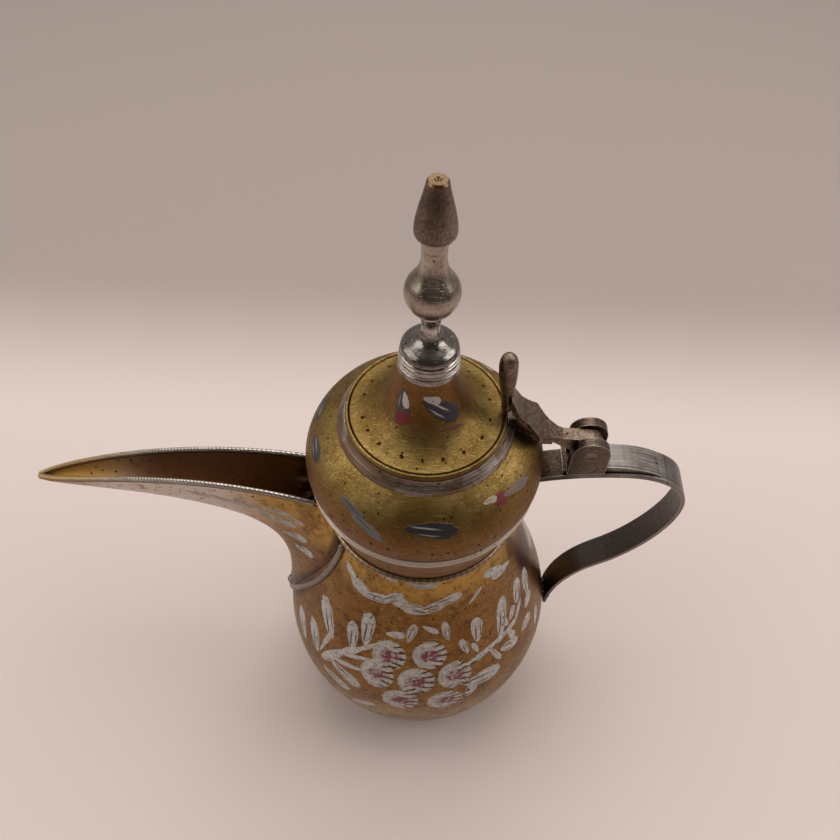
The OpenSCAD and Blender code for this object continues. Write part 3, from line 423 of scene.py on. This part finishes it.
rubbed_off = add(tree, "MapRange", {0: fray, 1: 0.3, 2: 0.42, 3: 0.45, 4: 1.0}, **SOFT)
scored = add(tree, "Math", {0: 1.0, 1: old["Scratch"]}, operation="SUBTRACT")
left = add(tree, "Math", {0: paint, 1: rubbed_off}, operation="MULTIPLY")
left = add(tree, "Math", {0: left, 1: scored}, operation="MULTIPLY")
cut = add(tree, "Math", {0: 1.0, 1: veins}, operation="SUBTRACT")
outer = add(tree, "Math", {0: 1.0, 1: inside}, operation="SUBTRACT")
cut = add(tree, "Math", {0: cut, 1: outer}, operation="MULTIPLY")
left = add(tree, "Math", {0: left, 1: cut}, operation="MULTIPLY")
chalk = add(tree, "MapRange", {0: fray, 1: 0.35, 2: 0.7, 3: 0.0, 4: 1.0}, **SOFT)
white = add(tree, "Mix", {0: chalk, 6: "a9a39d", 7: "cfcac4"}, **COLOUR)
colour = add(tree, "Mix", {0: left, 6: brass, 7: white}, **COLOUR)
groove = add(tree, "Math", {0: outer, 1: 0.7}, operation="MULTIPLY")
groove = add(tree, "Math", {0: paint, 1: groove}, operation="MULTIPLY")
groove = add(tree, "Math", {0: veins, 1: groove}, operation="MULTIPLY")
colour = add(tree, "Mix", {0: groove, 6: colour, 7: "2e1c0e"}, **COLOUR)
colour = add(tree, "Mix", {0: heart, 6: colour, 7: "7a1430"}, **COLOUR)
colour = add(tree, "Mix", {0: old["Pits"], 6: colour, 7: "1d120a"}, **COLOUR)
# Chips as short as 2 mm, on a few of the cells of a stretched pattern
chips = add(tree, "Mapping", {"Vector": mm, "Rotation": (0.5, 0.3, 0.2), "Scale": (0.3, 0.5, 0.17)})
chips = add(tree, "TexVoronoi", {"Vector": chips, "Scale": 1.0, "Randomness": 1.0}).outputs
few = add(tree, "SeparateColor", {"Color": chips["Color"]})
few = add(tree, "MapRange", {0: few, 1: 0.35, 2: 1.0, 3: 0.0, 4: 0.19}, **SOFT)
chipped = add(tree, "Math", {0: chips["Distance"], 1: few}, operation="LESS_THAN")
chipped = add(tree, "Math", {0: chipped, 1: outer}, operation="MULTIPLY")
chipped = add(tree, "Math", {0: chipped, 1: 0.85}, operation="MULTIPLY")
colour = add(tree, "Mix", {0: chipped, 6: colour, 7: "24160c"}, **COLOUR)
enamel = add(tree, "Math", {0: left, 1: heart}, operation="MAXIMUM")
relief = add(tree, "Math", {0: enamel, 1: 0.8, 2: old["Grain"]}, operation="MULTIPLY_ADD")
relief = add(tree, "Math", {0: relief, 1: old["Pits"]}, operation="SUBTRACT")
# The coffee's brown film is half as metallic as the brass under it
film = add(tree, "Math", {0: browned_and_shaded, 1: 0.5}, operation="MULTIPLY")
film = add(tree, "Math", {0: film, 1: enamel}, operation="MAXIMUM")
bare = add(tree, "Math", {0: 1.0, 1: film}, operation="SUBTRACT")
rough = add(tree, "MapRange", {0: old["Grain"], 1: 0.3, 2: 0.7, 3: 0.32, 4: 0.5}, **SOFT)
polish(tree, colour, bare, rough, relief, 0.12)

# Turned brass of the collar: painted shade darkens its hollow, with fine level lines 0.4 mm apart from the
# lathe
collar_brass, tree, mm, old = new_finish("turned_aged_brass")
level = add(tree, "Mapping", {"Vector": mm, "Scale": (0.02, 0.02, 2.6)})
rings = add(tree, "TexNoise", {"Vector": level, "Scale": 1.0, "Detail": 3.0})
ring_tone = add(tree, "MapRange", {0: rings, 1: 0.4, 2: 0.62, 3: 0.0, 4: 1.0}, **SOFT)
colour = add(tree, "Mix", {0: ring_tone, 6: "7a522e", 7: "b3936a"}, **COLOUR)
stained = add(tree, "Math", {0: old["Stain"], 1: 0.6}, operation="MULTIPLY")
colour = add(tree, "Mix", {0: stained, 6: colour, 7: "452a14"}, **COLOUR)
# Painted shade in its corners and hollow
colour = add(tree, "Mix", {0: old["CornerShade"], 6: colour, 7: "3a2414"}, **COLOUR)
colour = add(tree, "Mix", {0: old["Pits"], 6: colour, 7: "1d120a"}, **COLOUR)
rough = add(tree, "MapRange", {0: old["Grain"], 1: 0.3, 2: 0.7, 3: 0.32, 4: 0.52}, **SOFT)
polish(tree, colour, 1.0, rough, rings, 0.12)

# Spun yellow brass of the lid, dulled to olive: a fine grain, lathe lines, rows of punched dots under 2 mm
# across, and worn enamel leaves and fruit
lid_brass, tree, mm, old = new_finish("spun_yellow_brass_with_enamel")
x_mm, y_mm, z_mm = add(tree, "SeparateXYZ", {0: mm}).outputs
flat = add(tree, "CombineXYZ", {0: x_mm, 1: y_mm})
spin_r = add(tree, "VectorMath", {0: flat}, operation="LENGTH").outputs["Value"]
spin_a = add(tree, "Math", {0: x_mm, 1: y_mm}, operation="ARCTAN2")
lathe = add(tree, "CombineXYZ", {0: spin_r, 2: z_mm})
lathe = add(tree, "TexNoise", {"Vector": lathe, "Scale": 2.2, "Detail": 3.0})
dots = 0.0
# The punch was set by hand, so its steps round the lid wander by up to a tenth of a radian
wander = add(tree, "TexNoise", {"Vector": mm, "Scale": 1 / 14, "Detail": 0.0})
by_hand = add(tree, "Math", {0: wander, 1: 0.35, 2: spin_a}, operation="MULTIPLY_ADD")
# radius, height, number round the row, share of a step it is turned by
PUNCHED = (
    (16.5, 212.6, 13, 0.2), (24.3, 209.2, 18, 0.0), (39.6, 198.2, 24, 0.1), (45.2, 193.0, 30, 0.6),
    (46.9, 182.0, 30, 0.7),
)
for row_r, row_z, count, shift in PUNCHED:
    step = add(tree, "Math", {0: by_hand, 1: count / math.tau, 2: shift}, operation="MULTIPLY_ADD")
    step = add(tree, "Math", {0: step}, operation="FRACT")
    step = add(tree, "Math", {0: step, 1: 0.5}, operation="SUBTRACT")
    step = add(tree, "Math", {0: step, 1: math.tau * row_r / count}, operation="MULTIPLY")
    out = add(tree, "Math", {0: spin_r, 1: row_r}, operation="SUBTRACT")
    rise = add(tree, "Math", {0: z_mm, 1: row_z}, operation="SUBTRACT")
    gap = add(tree, "CombineXYZ", {0: step, 1: out, 2: rise})
    gap = add(tree, "VectorMath", {0: gap}, operation="LENGTH").outputs["Value"]
    dot = add(tree, "MapRange", {0: gap, 1: 0.5, 2: 1.0, 3: 1.0, 4: 0.0}, **SOFT)
    dots = add(tree, "Math", {0: dot, 1: dots}, operation="MAXIMUM")
mottle = add(tree, "MapRange", {0: old["Grain"], 1: 0.35, 2: 0.68, 3: 0.0, 4: 0.6}, **SOFT)
brass = add(tree, "Mix", {0: old["Tarnish"], 6: "785f30", 7: "937a46"}, **COLOUR)
brass = add(tree, "Mix", {0: mottle, 6: brass, 7: "674f2c"}, **COLOUR)
stained = add(tree, "Math", {0: old["Stain"], 1: 0.45}, operation="MULTIPLY")
brass = add(tree, "Mix", {0: stained, 6: brass, 7: "5e3c1e"}, **COLOUR)
hairs = add(tree, "Math", {0: old["Scratch"], 1: 0.4}, operation="MULTIPLY")
brass = add(tree, "Mix", {0: hairs, 6: brass, 7: "b9a876"}, **COLOUR)
# Painted shade browns the crown's throat and the dome's skirt
throat = add(tree, "MapRange", {0: spin_r, 1: 11.0, 2: 21.0, 3: 0.6, 4: 0.0}, **SOFT)
skirt = add(tree, "MapRange", {0: z_mm, 1: 182.0, 2: 199.0, 3: 0.6, 4: 0.0}, **SOFT)
browned_and_shaded = add(tree, "Math", {0: throat, 1: skirt}, operation="MAXIMUM")
brass = add(tree, "Mix", {0: browned_and_shaded, 6: brass, 7: "76492a"}, **COLOUR)
# Painted shade, thinner, darkens the lid's corners
thin_corner_shade = add(tree, "Math", {0: old["CornerShade"], 1: 0.6}, operation="MULTIPLY")
brass = add(tree, "Mix", {0: thin_corner_shade, 6: brass, 7: "3a2414"}, **COLOUR)
fray = add(tree, "TexNoise", {"Vector": mm, "Scale": 1 / 1.8, "Detail": 3.0, "Roughness": 0.65}).outputs[0]
folded = mirrored_place(tree, mm)
colour, enamel = brass, 0.0
for node, u, v, length, width, turn, veined, tone, vein_tone in LID_DAUBS:
    lie = turned(node, seen(node, u, v)[0], turn)
    daub = brush(tree, petal, folded, lie, length, width, {"Fray": fray, "Veined": float(veined)})
    worn_daub = add(tree, "Math", {0: daub[0], 1: 0.97}, operation="MULTIPLY")
    colour = add(tree, "Mix", {0: worn_daub, 6: colour, 7: tone}, **COLOUR)
    vein = add(tree, "Math", {0: daub[1], 1: worn_daub}, operation="MULTIPLY")
    colour = add(tree, "Mix", {0: vein, 6: colour, 7: vein_tone}, **COLOUR)
    enamel = add(tree, "Math", {0: worn_daub, 1: enamel}, operation="MAXIMUM")
colour = add(tree, "Mix", {0: dots, 6: colour, 7: "2c1c0c"}, **COLOUR)
few_pits = add(tree, "Math", {0: old["Pits"], 1: 0.9}, operation="MULTIPLY")
colour = add(tree, "Mix", {0: few_pits, 6: colour, 7: "2c1c0c"}, **COLOUR)
relief = add(tree, "Math", {0: lathe, 1: 0.4, 2: enamel}, operation="MULTIPLY_ADD")
relief = add(tree, "Math", {0: dots, 1: -1.6, 2: relief}, operation="MULTIPLY_ADD")
bare = add(tree, "Math", {0: 1.0, 1: enamel}, operation="SUBTRACT")
rough = add(tree, "MapRange", {0: old["Grain"], 1: 0.3, 2: 0.7, 3: 0.42, 4: 0.6}, **SOFT)
polish(tree, colour, bare, rough, relief, 0.16)

# Tinned brass of hoop, band, bead and solder: grey, rubbed through to brown brass in places, scored by its
# turning; the bead round the spout is hatched like a rope, a strand every 1.5 mm
tinned, tree, mm, old = new_finish("rubbed_tinned_brass")
x_mm, y_mm, z_mm = add(tree, "SeparateXYZ", {0: mm}).outputs
level = add(tree, "Mapping", {"Vector": mm, "Scale": (0.05, 0.05, 3.0)})
rings = add(tree, "TexNoise", {"Vector": level, "Scale": 1.0, "Detail": 3.0})
ring_tone = add(tree, "MapRange", {0: rings, 1: 0.35, 2: 0.65, 3: 0.0, 4: 1.0}, **SOFT)
metal = add(tree, "Mix", {0: ring_tone, 6: "8c847c", 7: "c9c3bb"}, **COLOUR)
through = add(tree, "Math", {0: old["Tarnish"], 1: old["Stain"]}, operation="MAXIMUM")
through = add(tree, "Math", {0: through, 1: 0.5}, operation="MULTIPLY")
metal = add(tree, "Mix", {0: through, 6: metal, 7: "876545"}, **COLOUR)
slant = add(tree, "Math", {0: z_mm, 1: 1.4, 2: x_mm}, operation="MULTIPLY_ADD")
strand = add(tree, "Math", {0: slant, 1: math.tau / 1.5}, operation="MULTIPLY")
strand = add(tree, "Math", {0: strand}, operation="SINE")
on_bead = add(tree, "MapRange", {0: x_mm, 1: -50.0, 2: -46.0, 3: 1.0, 4: 0.0}, **SOFT)
high = add(tree, "MapRange", {0: z_mm, 1: 146.0, 2: 149.0, 3: 0.0, 4: 1.0}, **SOFT)
on_bead = add(tree, "Math", {0: on_bead, 1: high}, operation="MULTIPLY")
lay = add(tree, "MapRange", {0: strand, 1: -0.2, 2: 0.4, 3: 0.0, 4: 1.0}, **SOFT)
rope = add(tree, "Mix", {0: lay, 6: "77695c", 7: "c4beb6"}, **COLOUR)
rope_amount = add(tree, "Math", {0: on_bead, 1: 0.6}, operation="MULTIPLY")
metal = add(tree, "Mix", {0: rope_amount, 6: metal, 7: rope}, **COLOUR)
# The ring over the neck's joint is brass, nicked every 3 mm, out to 42 mm from its middle
RING_MIDDLE = (0.0, 0.0, 144.7)
ring_z = add(tree, "MapRange", {0: z_mm, 1: 146.2, 2: 147.0, 3: 0.8, 4: 0.0}, **SOFT)
off_spout = add(tree, "VectorMath", {0: mm, 1: RING_MIDDLE}, operation="DISTANCE").outputs["Value"]
off_spout = add(tree, "MapRange", {0: off_spout, 1: 41.5, 2: 42.5, 3: 1.0, 4: 0.0}, **SOFT)
on_ring = add(tree, "Math", {0: ring_z, 1: off_spout}, operation="MULTIPLY")
turn_a = add(tree, "Math", {0: x_mm, 1: y_mm}, operation="ARCTAN2")
dash = add(tree, "Math", {0: turn_a, 1: 90.0}, operation="MULTIPLY")
dash = add(tree, "Math", {0: dash}, operation="SINE")
dash = add(tree, "MapRange", {0: dash, 1: 0.0, 2: 0.8, 3: 0.0, 4: 1.0}, **SOFT)
ring_brass = add(tree, "Mix", {0: dash, 6: "7d6040", 7: "9c8560"}, **COLOUR)
metal = add(tree, "Mix", {0: on_ring, 6: metal, 7: ring_brass}, **COLOUR)
# The band under the crown is the most worn of these, brown all along its front
band = add(tree, "MapRange", {0: z_mm, 1: 198.0, 2: 200.0, 3: 0.0, 4: 0.6}, **SOFT)
worn = add(tree, "MapRange", {0: through, 1: 0.1, 2: 0.4, 3: 0.35, 4: 1.0}, **SOFT)
band = add(tree, "Math", {0: band, 1: worn}, operation="MULTIPLY")
metal = add(tree, "Mix", {0: band, 6: metal, 7: "6b4c36"}, **COLOUR)
# The hoop is the best kept of these, and where the bead meets the spout's tip it is brass again, rubbed and
# with a painted highlight
hoop = add(tree, "MapRange", {0: z_mm, 1: 176.0, 2: 178.0, 3: 0.6, 4: 0.0}, **SOFT)
low = add(tree, "MapRange", {0: z_mm, 1: 164.0, 2: 167.0, 3: 0.0, 4: 1.0}, **SOFT)
hoop = add(tree, "Math", {0: hoop, 1: low}, operation="MULTIPLY")
metal = add(tree, "Mix", {0: hoop, 6: metal, 7: "e6dac6"}, **COLOUR)
tip = add(tree, "MapRange", {0: x_mm, 1: -150.0, 2: -110.0, 3: 0.85, 4: 0.0}, **SOFT)
metal = add(tree, "Mix", {0: tip, 6: metal, 7: "a88a58"}, **COLOUR)
# The solder by the spout's root is dull lead
lead = add(tree, "MapRange", {0: z_mm, 1: 142.0, 2: 144.0, 3: 0.55, 4: 0.0}, **SOFT)
metal = add(tree, "Mix", {0: lead, 6: metal, 7: "665b52"}, **COLOUR)
# Painted shade darkens the corners
metal = add(tree, "Mix", {0: old["CornerShade"], 6: metal, 7: "3a2c22"}, **COLOUR)
colour = add(tree, "Mix", {0: old["Pits"], 6: metal, 7: "2a241e"}, **COLOUR)
cord_relief = add(tree, "Math", {0: lay, 1: on_bead}, operation="MULTIPLY")
cord_relief = add(tree, "Math", {0: cord_relief, 1: 0.5, 2: rings}, operation="MULTIPLY_ADD")
rough = add(tree, "MapRange", {0: old["Grain"], 1: 0.3, 2: 0.7, 3: 0.28, 4: 0.5}, **SOFT)
polish(tree, colour, 1.0, rough, cord_relief, 0.12)

# Filed steel of the strap: file marks 0.4 mm apart run along it, its inner side is dark with painted shade,
# its edges are rubbed bright and carry a painted highlight, and a line is scribed along its near edge and
# across it
steel, tree, mm, old = new_finish("filed_steel")
x_mm, y_mm, z_mm = add(tree, "SeparateXYZ", {0: mm}).outputs
stroked = add(tree, "Mapping", {"Vector": mm, "Scale": (0.06, 2.4, 0.06)})
filed = add(tree, "TexNoise", {"Vector": stroked, "Scale": 1.0, "Detail": 3.0, "Roughness": 0.6})
file_tone = add(tree, "MapRange", {0: filed, 1: 0.3, 2: 0.7, 3: 0.0, 4: 1.0}, **SOFT)
metal = add(tree, "Mix", {0: file_tone, 6: "68605b", 7: "8e8781"}, **COLOUR)
stained = add(tree, "Math", {0: old["Stain"], 1: 0.4}, operation="MULTIPLY")
metal = add(tree, "Mix", {0: stained, 6: metal, 7: "5c4c42"}, **COLOUR)
# A face that looks to the middle of the handle's loop is on the strap's inner side, and painted shade darkens
# it
LOOP_MIDDLE = (80.0, 0.0, 142.0)
to_middle = add(tree, "VectorMath", {0: LOOP_MIDDLE, 1: mm}, operation="SUBTRACT")
to_middle = add(tree, "VectorMath", {0: to_middle}, operation="NORMALIZE")
facing = add(tree, "NewGeometry").outputs["Normal"]
inner = add(tree, "VectorMath", {0: to_middle, 1: facing}, operation="DOT_PRODUCT").outputs["Value"]
inner = add(tree, "MapRange", {0: inner, 1: 0.1, 2: 0.5, 3: 0.0, 4: 0.85}, **SOFT)
metal = add(tree, "Mix", {0: inner, 6: metal, 7: "575250"}, **COLOUR)
# Its lower end is rusty over 25 mm
rusty = add(tree, "MapRange", {0: z_mm, 1: 62.0, 2: 88.0, 3: 0.8, 4: 0.0}, **SOFT)
metal = add(tree, "Mix", {0: rusty, 6: metal, 7: "4c3226"}, **COLOUR)
# The ears of the hinge were forged and not filed: brown, with a skin as coarse as 1.3 mm sand, and by the
# hoop all has corroded to a dark crust
forged = add(tree, "MapRange", {0: z_mm, 1: 176.6, 2: 177.4, 3: 0.0, 4: 0.9}, **SOFT)
ears = add(tree, "MapRange", {0: x_mm, 1: 72.0, 2: 75.0, 3: 1.0, 4: 0.0}, **SOFT)
forged = add(tree, "Math", {0: forged, 1: ears}, operation="MULTIPLY")
skin = add(tree, "TexNoise", {"Vector": mm, "Scale": 1 / 1.3, "Detail": 4.0, "Roughness": 0.7})
skin_tone = add(tree, "MapRange", {0: skin, 1: 0.35, 2: 0.65, 3: 0.0, 4: 1.0}, **SOFT)
brown = add(tree, "Mix", {0: skin_tone, 6: "483930", 7: "6b594c"}, **COLOUR)
metal = add(tree, "Mix", {0: forged, 6: metal, 7: brown}, **COLOUR)
near_hoop = add(tree, "MapRange", {0: x_mm, 1: 56.0, 2: 66.0, 3: 0.95, 4: 0.0}, **SOFT)
above = add(tree, "MapRange", {0: z_mm, 1: 150.0, 2: 160.0, 3: 0.0, 4: 1.0}, **SOFT)
corroded = add(tree, "Math", {0: near_hoop, 1: above}, operation="MULTIPLY")
crust = add(tree, "Mix", {0: skin_tone, 6: "241c15", 7: "4a3a2a"}, **COLOUR)
metal = add(tree, "Mix", {0: corroded, 6: metal, 7: crust}, **COLOUR)
# Painted highlight: edges within 0.7 mm are lightened, partly as rubbed steel
rounded = add(tree, "Bevel", {"Radius": 0.7 * MM}, samples=4)
edge = add(tree, "VectorMath", {0: rounded, 1: facing}, operation="DOT_PRODUCT").outputs["Value"]
edge = add(tree, "MapRange", {0: edge, 1: 0.8, 2: 0.98, 3: 0.55, 4: 0.0}, **SOFT)
# Painted shade darkens the corners
metal = add(tree, "Mix", {0: old["CornerShade"], 6: metal, 7: "2e2520"}, **COLOUR)
metal = add(tree, "Mix", {0: edge, 6: metal, 7: "c9c3bd"}, **COLOUR)
# The scribed lines, 0.5 mm wide: 5 mm off the middle all along, and across where the bend begins
along_edge = add(tree, "Math", {0: y_mm, 1: -5.0, 2: 0.25}, operation="COMPARE")
across_bend = add(tree, "Math", {0: x_mm, 1: 98.0, 2: 0.3}, operation="COMPARE")
upper = add(tree, "Math", {0: z_mm, 1: 150.0}, operation="GREATER_THAN")
scribed = add(tree, "Math", {0: along_edge, 1: across_bend}, operation="MAXIMUM")
scribed = add(tree, "Math", {0: scribed, 1: upper}, operation="MULTIPLY")
scribed = add(tree, "Math", {0: scribed, 1: 0.6}, operation="MULTIPLY")
metal = add(tree, "Mix", {0: scribed, 6: metal, 7: "3a332e"}, **COLOUR)
colour = add(tree, "Mix", {0: old["Pits"], 6: metal, 7: "2b2520"}, **COLOUR)
rough = add(tree, "MapRange", {0: filed, 1: 0.3, 2: 0.7, 3: 0.3, 4: 0.48}, **SOFT)
rise = add(tree, "Mix", {0: forged, 2: filed, 3: skin})
polish(tree, colour, 1.0, rough, rise, 0.1)

# Nickel plate of the finial: a mirror on cup and foot, dulled and browned on the ball where it is held
nickel, tree, mm, old = new_finish("worn_nickel_plate")
z_mm = add(tree, "SeparateXYZ", {0: mm}).outputs[2]
held = add(tree, "MapRange", {0: z_mm, 1: 256.0, 2: 264.0, 3: 0.0, 4: 1.0}, **SOFT)
bright = add(tree, "Mix", {0: old["Tarnish"], 6: "b9b3ad", 7: "9b928a"}, **COLOUR)
dull = add(tree, "Mix", {0: old["Tarnish"], 6: "b0a498", 7: "938477"}, **COLOUR)
metal = add(tree, "Mix", {0: held, 6: bright, 7: dull}, **COLOUR)
# A painted dark reflection on the shoulder over the cup, 10 mm high
dark_reflection = add(tree, "MapRange", {0: z_mm, 1: 241.0, 2: 243.0, 3: 0.0, 4: 0.6}, **SOFT)
shoulder = add(tree, "MapRange", {0: z_mm, 1: 249.0, 2: 253.0, 3: 1.0, 4: 0.0}, **SOFT)
dark_reflection = add(tree, "Math", {0: dark_reflection, 1: shoulder}, operation="MULTIPLY")
metal = add(tree, "Mix", {0: dark_reflection, 6: metal, 7: "57504a"}, **COLOUR)
stained = add(tree, "Math", {0: old["Stain"], 1: 0.4}, operation="MULTIPLY")
metal = add(tree, "Mix", {0: stained, 6: metal, 7: "4f3d30"}, **COLOUR)
colour = add(tree, "Mix", {0: old["Pits"], 6: metal, 7: "2a201a"}, **COLOUR)
level = add(tree, "Mapping", {"Vector": mm, "Scale": (0.04, 0.04, 3.0)})
rings = add(tree, "TexNoise", {"Vector": level, "Scale": 1.0, "Detail": 3.0})
relief = add(tree, "Math", {0: rings, 1: old["Scratch"]}, operation="SUBTRACT")
turned = add(tree, "MapRange", {0: z_mm, 1: 239.0, 2: 241.0, 3: 0.2, 4: 0.0}, **SOFT)
rough = add(tree, "MapRange", {0: held, 1: 0.0, 2: 1.0, 3: 0.12, 4: 0.2}, **SOFT)
rough = add(tree, "Math", {0: turned, 1: rough}, operation="MAXIMUM")
rough = add(tree, "Math", {0: old["Grain"], 1: 0.12, 2: rough}, operation="MULTIPLY_ADD")
polish(tree, colour, 1.0, rough, relief, 0.05)

# Bronze of the finial's tip: a mottled brown skin, brassy only where fingers have rubbed its top
bronze_tip, tree, mm, old = new_finish("browned_bronze")
z_mm = add(tree, "SeparateXYZ", {0: mm}).outputs[2]
metal = add(tree, "Mix", {0: old["Tarnish"], 6: "645349", 7: "877569"}, **COLOUR)
mottle = add(tree, "MapRange", {0: old["Grain"], 1: 0.35, 2: 0.65, 3: 0.0, 4: 0.5}, **SOFT)
metal = add(tree, "Mix", {0: mottle, 6: metal, 7: "413229"}, **COLOUR)
top = add(tree, "MapRange", {0: z_mm, 1: 309.4, 2: 310.6, 3: 0.0, 4: 0.45}, **SOFT)
colour = add(tree, "Mix", {0: top, 6: metal, 7: "8a6a40"}, **COLOUR)
rough = add(tree, "MapRange", {0: old["Grain"], 1: 0.3, 2: 0.7, 3: 0.26, 4: 0.42}, **SOFT)
polish(tree, colour, 1.0, rough, old["Grain"], 0.06)

# Cast bronze of lever, thumb piece and pin: pitted by the sand of its mould, grains about 1.3 mm across,
# brown where stained, and light on its edges, rubbed there and with a painted highlight
cast, tree, mm, old = new_finish("sand_cast_bronze")
sand = add(tree, "TexNoise", {"Vector": mm, "Scale": 1 / 1.3, "Detail": 4.0, "Roughness": 0.7})
sand_tone = add(tree, "MapRange", {0: sand, 1: 0.35, 2: 0.65, 3: 0.0, 4: 1.0}, **SOFT)
metal = add(tree, "Mix", {0: sand_tone, 6: "5c4b3f", 7: "8c7867"}, **COLOUR)
stained = add(tree, "Math", {0: old["Stain"], 1: 0.5}, operation="MULTIPLY")
metal = add(tree, "Mix", {0: stained, 6: metal, 7: "39281c"}, **COLOUR)
facing = add(tree, "NewGeometry").outputs["Normal"]
# Painted highlight: edges within 0.6 mm are lightened, partly as rubbed bronze
rounded = add(tree, "Bevel", {"Radius": 0.6 * MM}, samples=4)
edge = add(tree, "VectorMath", {0: rounded, 1: facing}, operation="DOT_PRODUCT").outputs["Value"]
edge = add(tree, "MapRange", {0: edge, 1: 0.8, 2: 0.98, 3: 0.55, 4: 0.0}, **SOFT)
metal = add(tree, "Mix", {0: edge, 6: metal, 7: "b09a7e"}, **COLOUR)
colour = add(tree, "Mix", {0: old["Pits"], 6: metal, 7: "1c140e"}, **COLOUR)
rough = add(tree, "MapRange", {0: sand, 1: 0.3, 2: 0.7, 3: 0.28, 4: 0.46}, **SOFT)
polish(tree, colour, 1.0, rough, sand, 0.22)

FINISH = {
    "bowl_brass": bowl_brass, "collar_brass": collar_brass, "lid_brass": lid_brass, "bare_metal": tinned,
    "strap_steel": steel, "nickel_plate": nickel, "dark_bronze": bronze_tip, "cast_bronze": cast,
}
for part in frame["record"]["subparts"]:
    mesh = nodes[part["node"]].data
    mesh.materials.clear()
    mesh.materials.append(FINISH[part["material_slot"]])

# ---------------------------------------------------------------- the solder along the spout's root

# A bead swept along the near side of the root, with a rounded lip under the keel, mirrored and fused
BEAD_R = 1.6
LIP_R = 2.3
LIP_PLACE = (-65.3, 0.0, 58.6)
bpy.ops.object.select_all(action="DESELECT")
line = [Vector(p) * MM for p in ROOT_LINE]
bpy.ops.mesh.primitive_circle_add(vertices=14, radius=BEAD_R * MM, fill_type="NGON", location=line[0])
solder = bpy.context.object
solder.name = "spout_solder"
bpy.ops.object.mode_set(mode="EDIT")
bpy.ops.mesh.select_all(action="SELECT")
for start, stop in zip(line, line[1:]):
    bpy.ops.mesh.extrude_region_move(TRANSFORM_OT_translate={"value": stop - start})
bpy.ops.mesh.select_all(action="SELECT")
bpy.ops.mesh.normals_make_consistent(inside=False)
lip = Vector(LIP_PLACE) * MM
bpy.ops.mesh.primitive_uv_sphere_add(segments=16, ring_count=10, radius=LIP_R * MM, location=lip)
bpy.ops.object.mode_set(mode="OBJECT")
bpy.ops.object.transform_apply(location=True, rotation=True, scale=True)
for kind, settings in (
    ("MIRROR", {"use_axis": (False, True, False), "use_mirror_merge": False}),
    ("REMESH", {"mode": "VOXEL", "voxel_size": 0.45 * MM}),
    ("CORRECTIVE_SMOOTH", {"iterations": 4, "use_only_smooth": True}),
):
    bpy.ops.object.modifier_add(type=kind)
    for key, value in settings.items():
        setattr(solder.modifiers[-1], key, value)
    bpy.ops.object.modifier_apply(modifier=solder.modifiers[-1].name)
bpy.ops.object.shade_smooth()
solder.data.materials.append(tinned)
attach(solder, "pot")

# ---------------------------------------------------------------- table, light and camera

# Matt studio paper: pale where the pot stands, its far part painted darker grey as shade where it falls back
bpy.ops.object.select_all(action="DESELECT")
bpy.ops.mesh.primitive_plane_add(size=4, location=(0, 0, 0))
floor = bpy.context.object
floor.name = "floor"
paper, tree, mm, old = new_finish("studio_paper")
y_mm = add(tree, "SeparateXYZ", {0: mm}).outputs[1]
back = add(tree, "MapRange", {0: y_mm, 1: 140.0, 2: 290.0, 3: 0.0, 4: 1.0}, **SOFT)
colour = add(tree, "Mix", {0: back, 6: "d8c7c0", 7: "a5968f"}, **COLOUR)
polish(tree, colour, 0.0, 0.9, old["Grain"], 0.02)
floor.data.materials.append(paper)

# A dim room, darkest behind the camera, which the polished metal mirrors
room = bpy.data.worlds.new("studio")
room.use_nodes = True
tree = room.node_tree
tree.nodes.clear()
sky = add(tree, "SeparateXYZ", {0: add(tree, "TexCoord").outputs["Generated"]}).outputs
ahead = add(tree, "MapRange", {0: sky[1], 1: -0.6, 2: 0.15, 3: 1.0, 4: 0.0}, **SOFT)
tone = add(tree, "Mix", {0: ahead, 6: "a39d98", 7: "5a544e"}, **COLOUR)
add(tree, "OutputWorld", {"Surface": add(tree, "Background", {"Color": tone, "Strength": 1.0})})
scene.world = room
scene.view_settings.view_transform = "Standard"

# name, watts, size, place: one wide softbox overhead and a smaller one at each side
for name, watts, size, place in (
    ("overhead", 15.4, 1.4, (0.0, 0.65, 1.5)),
    ("left", 5.0, 0.9, (-0.95, -0.1, 0.85)),
    ("right", 4.8, 0.7, (0.95, 0.05, 0.85)),
):
    lamp = bpy.data.lights.new(name, "AREA")
    lamp.energy, lamp.size = watts, size
    box = bpy.data.objects.new(name, lamp)
    scene.collection.objects.link(box)
    aim = Vector((0, 0, 0.1)) - Vector(place)
    box.matrix_world = Matrix.Translation(place) @ aim.to_track_quat("-Z", "Y").to_matrix().to_4x4()

# The lens turns FOCUS from pixels of the frame into millimetres of its sensor
lens = bpy.data.cameras.new("camera")
lens.sensor_width = 36
lens.lens = FOCUS / FRAME_SIZE * lens.sensor_width
camera = bpy.data.objects.new("camera", lens)
scene.collection.objects.link(camera)
camera.matrix_world = CAMERA_PLACE
scene.camera = camera
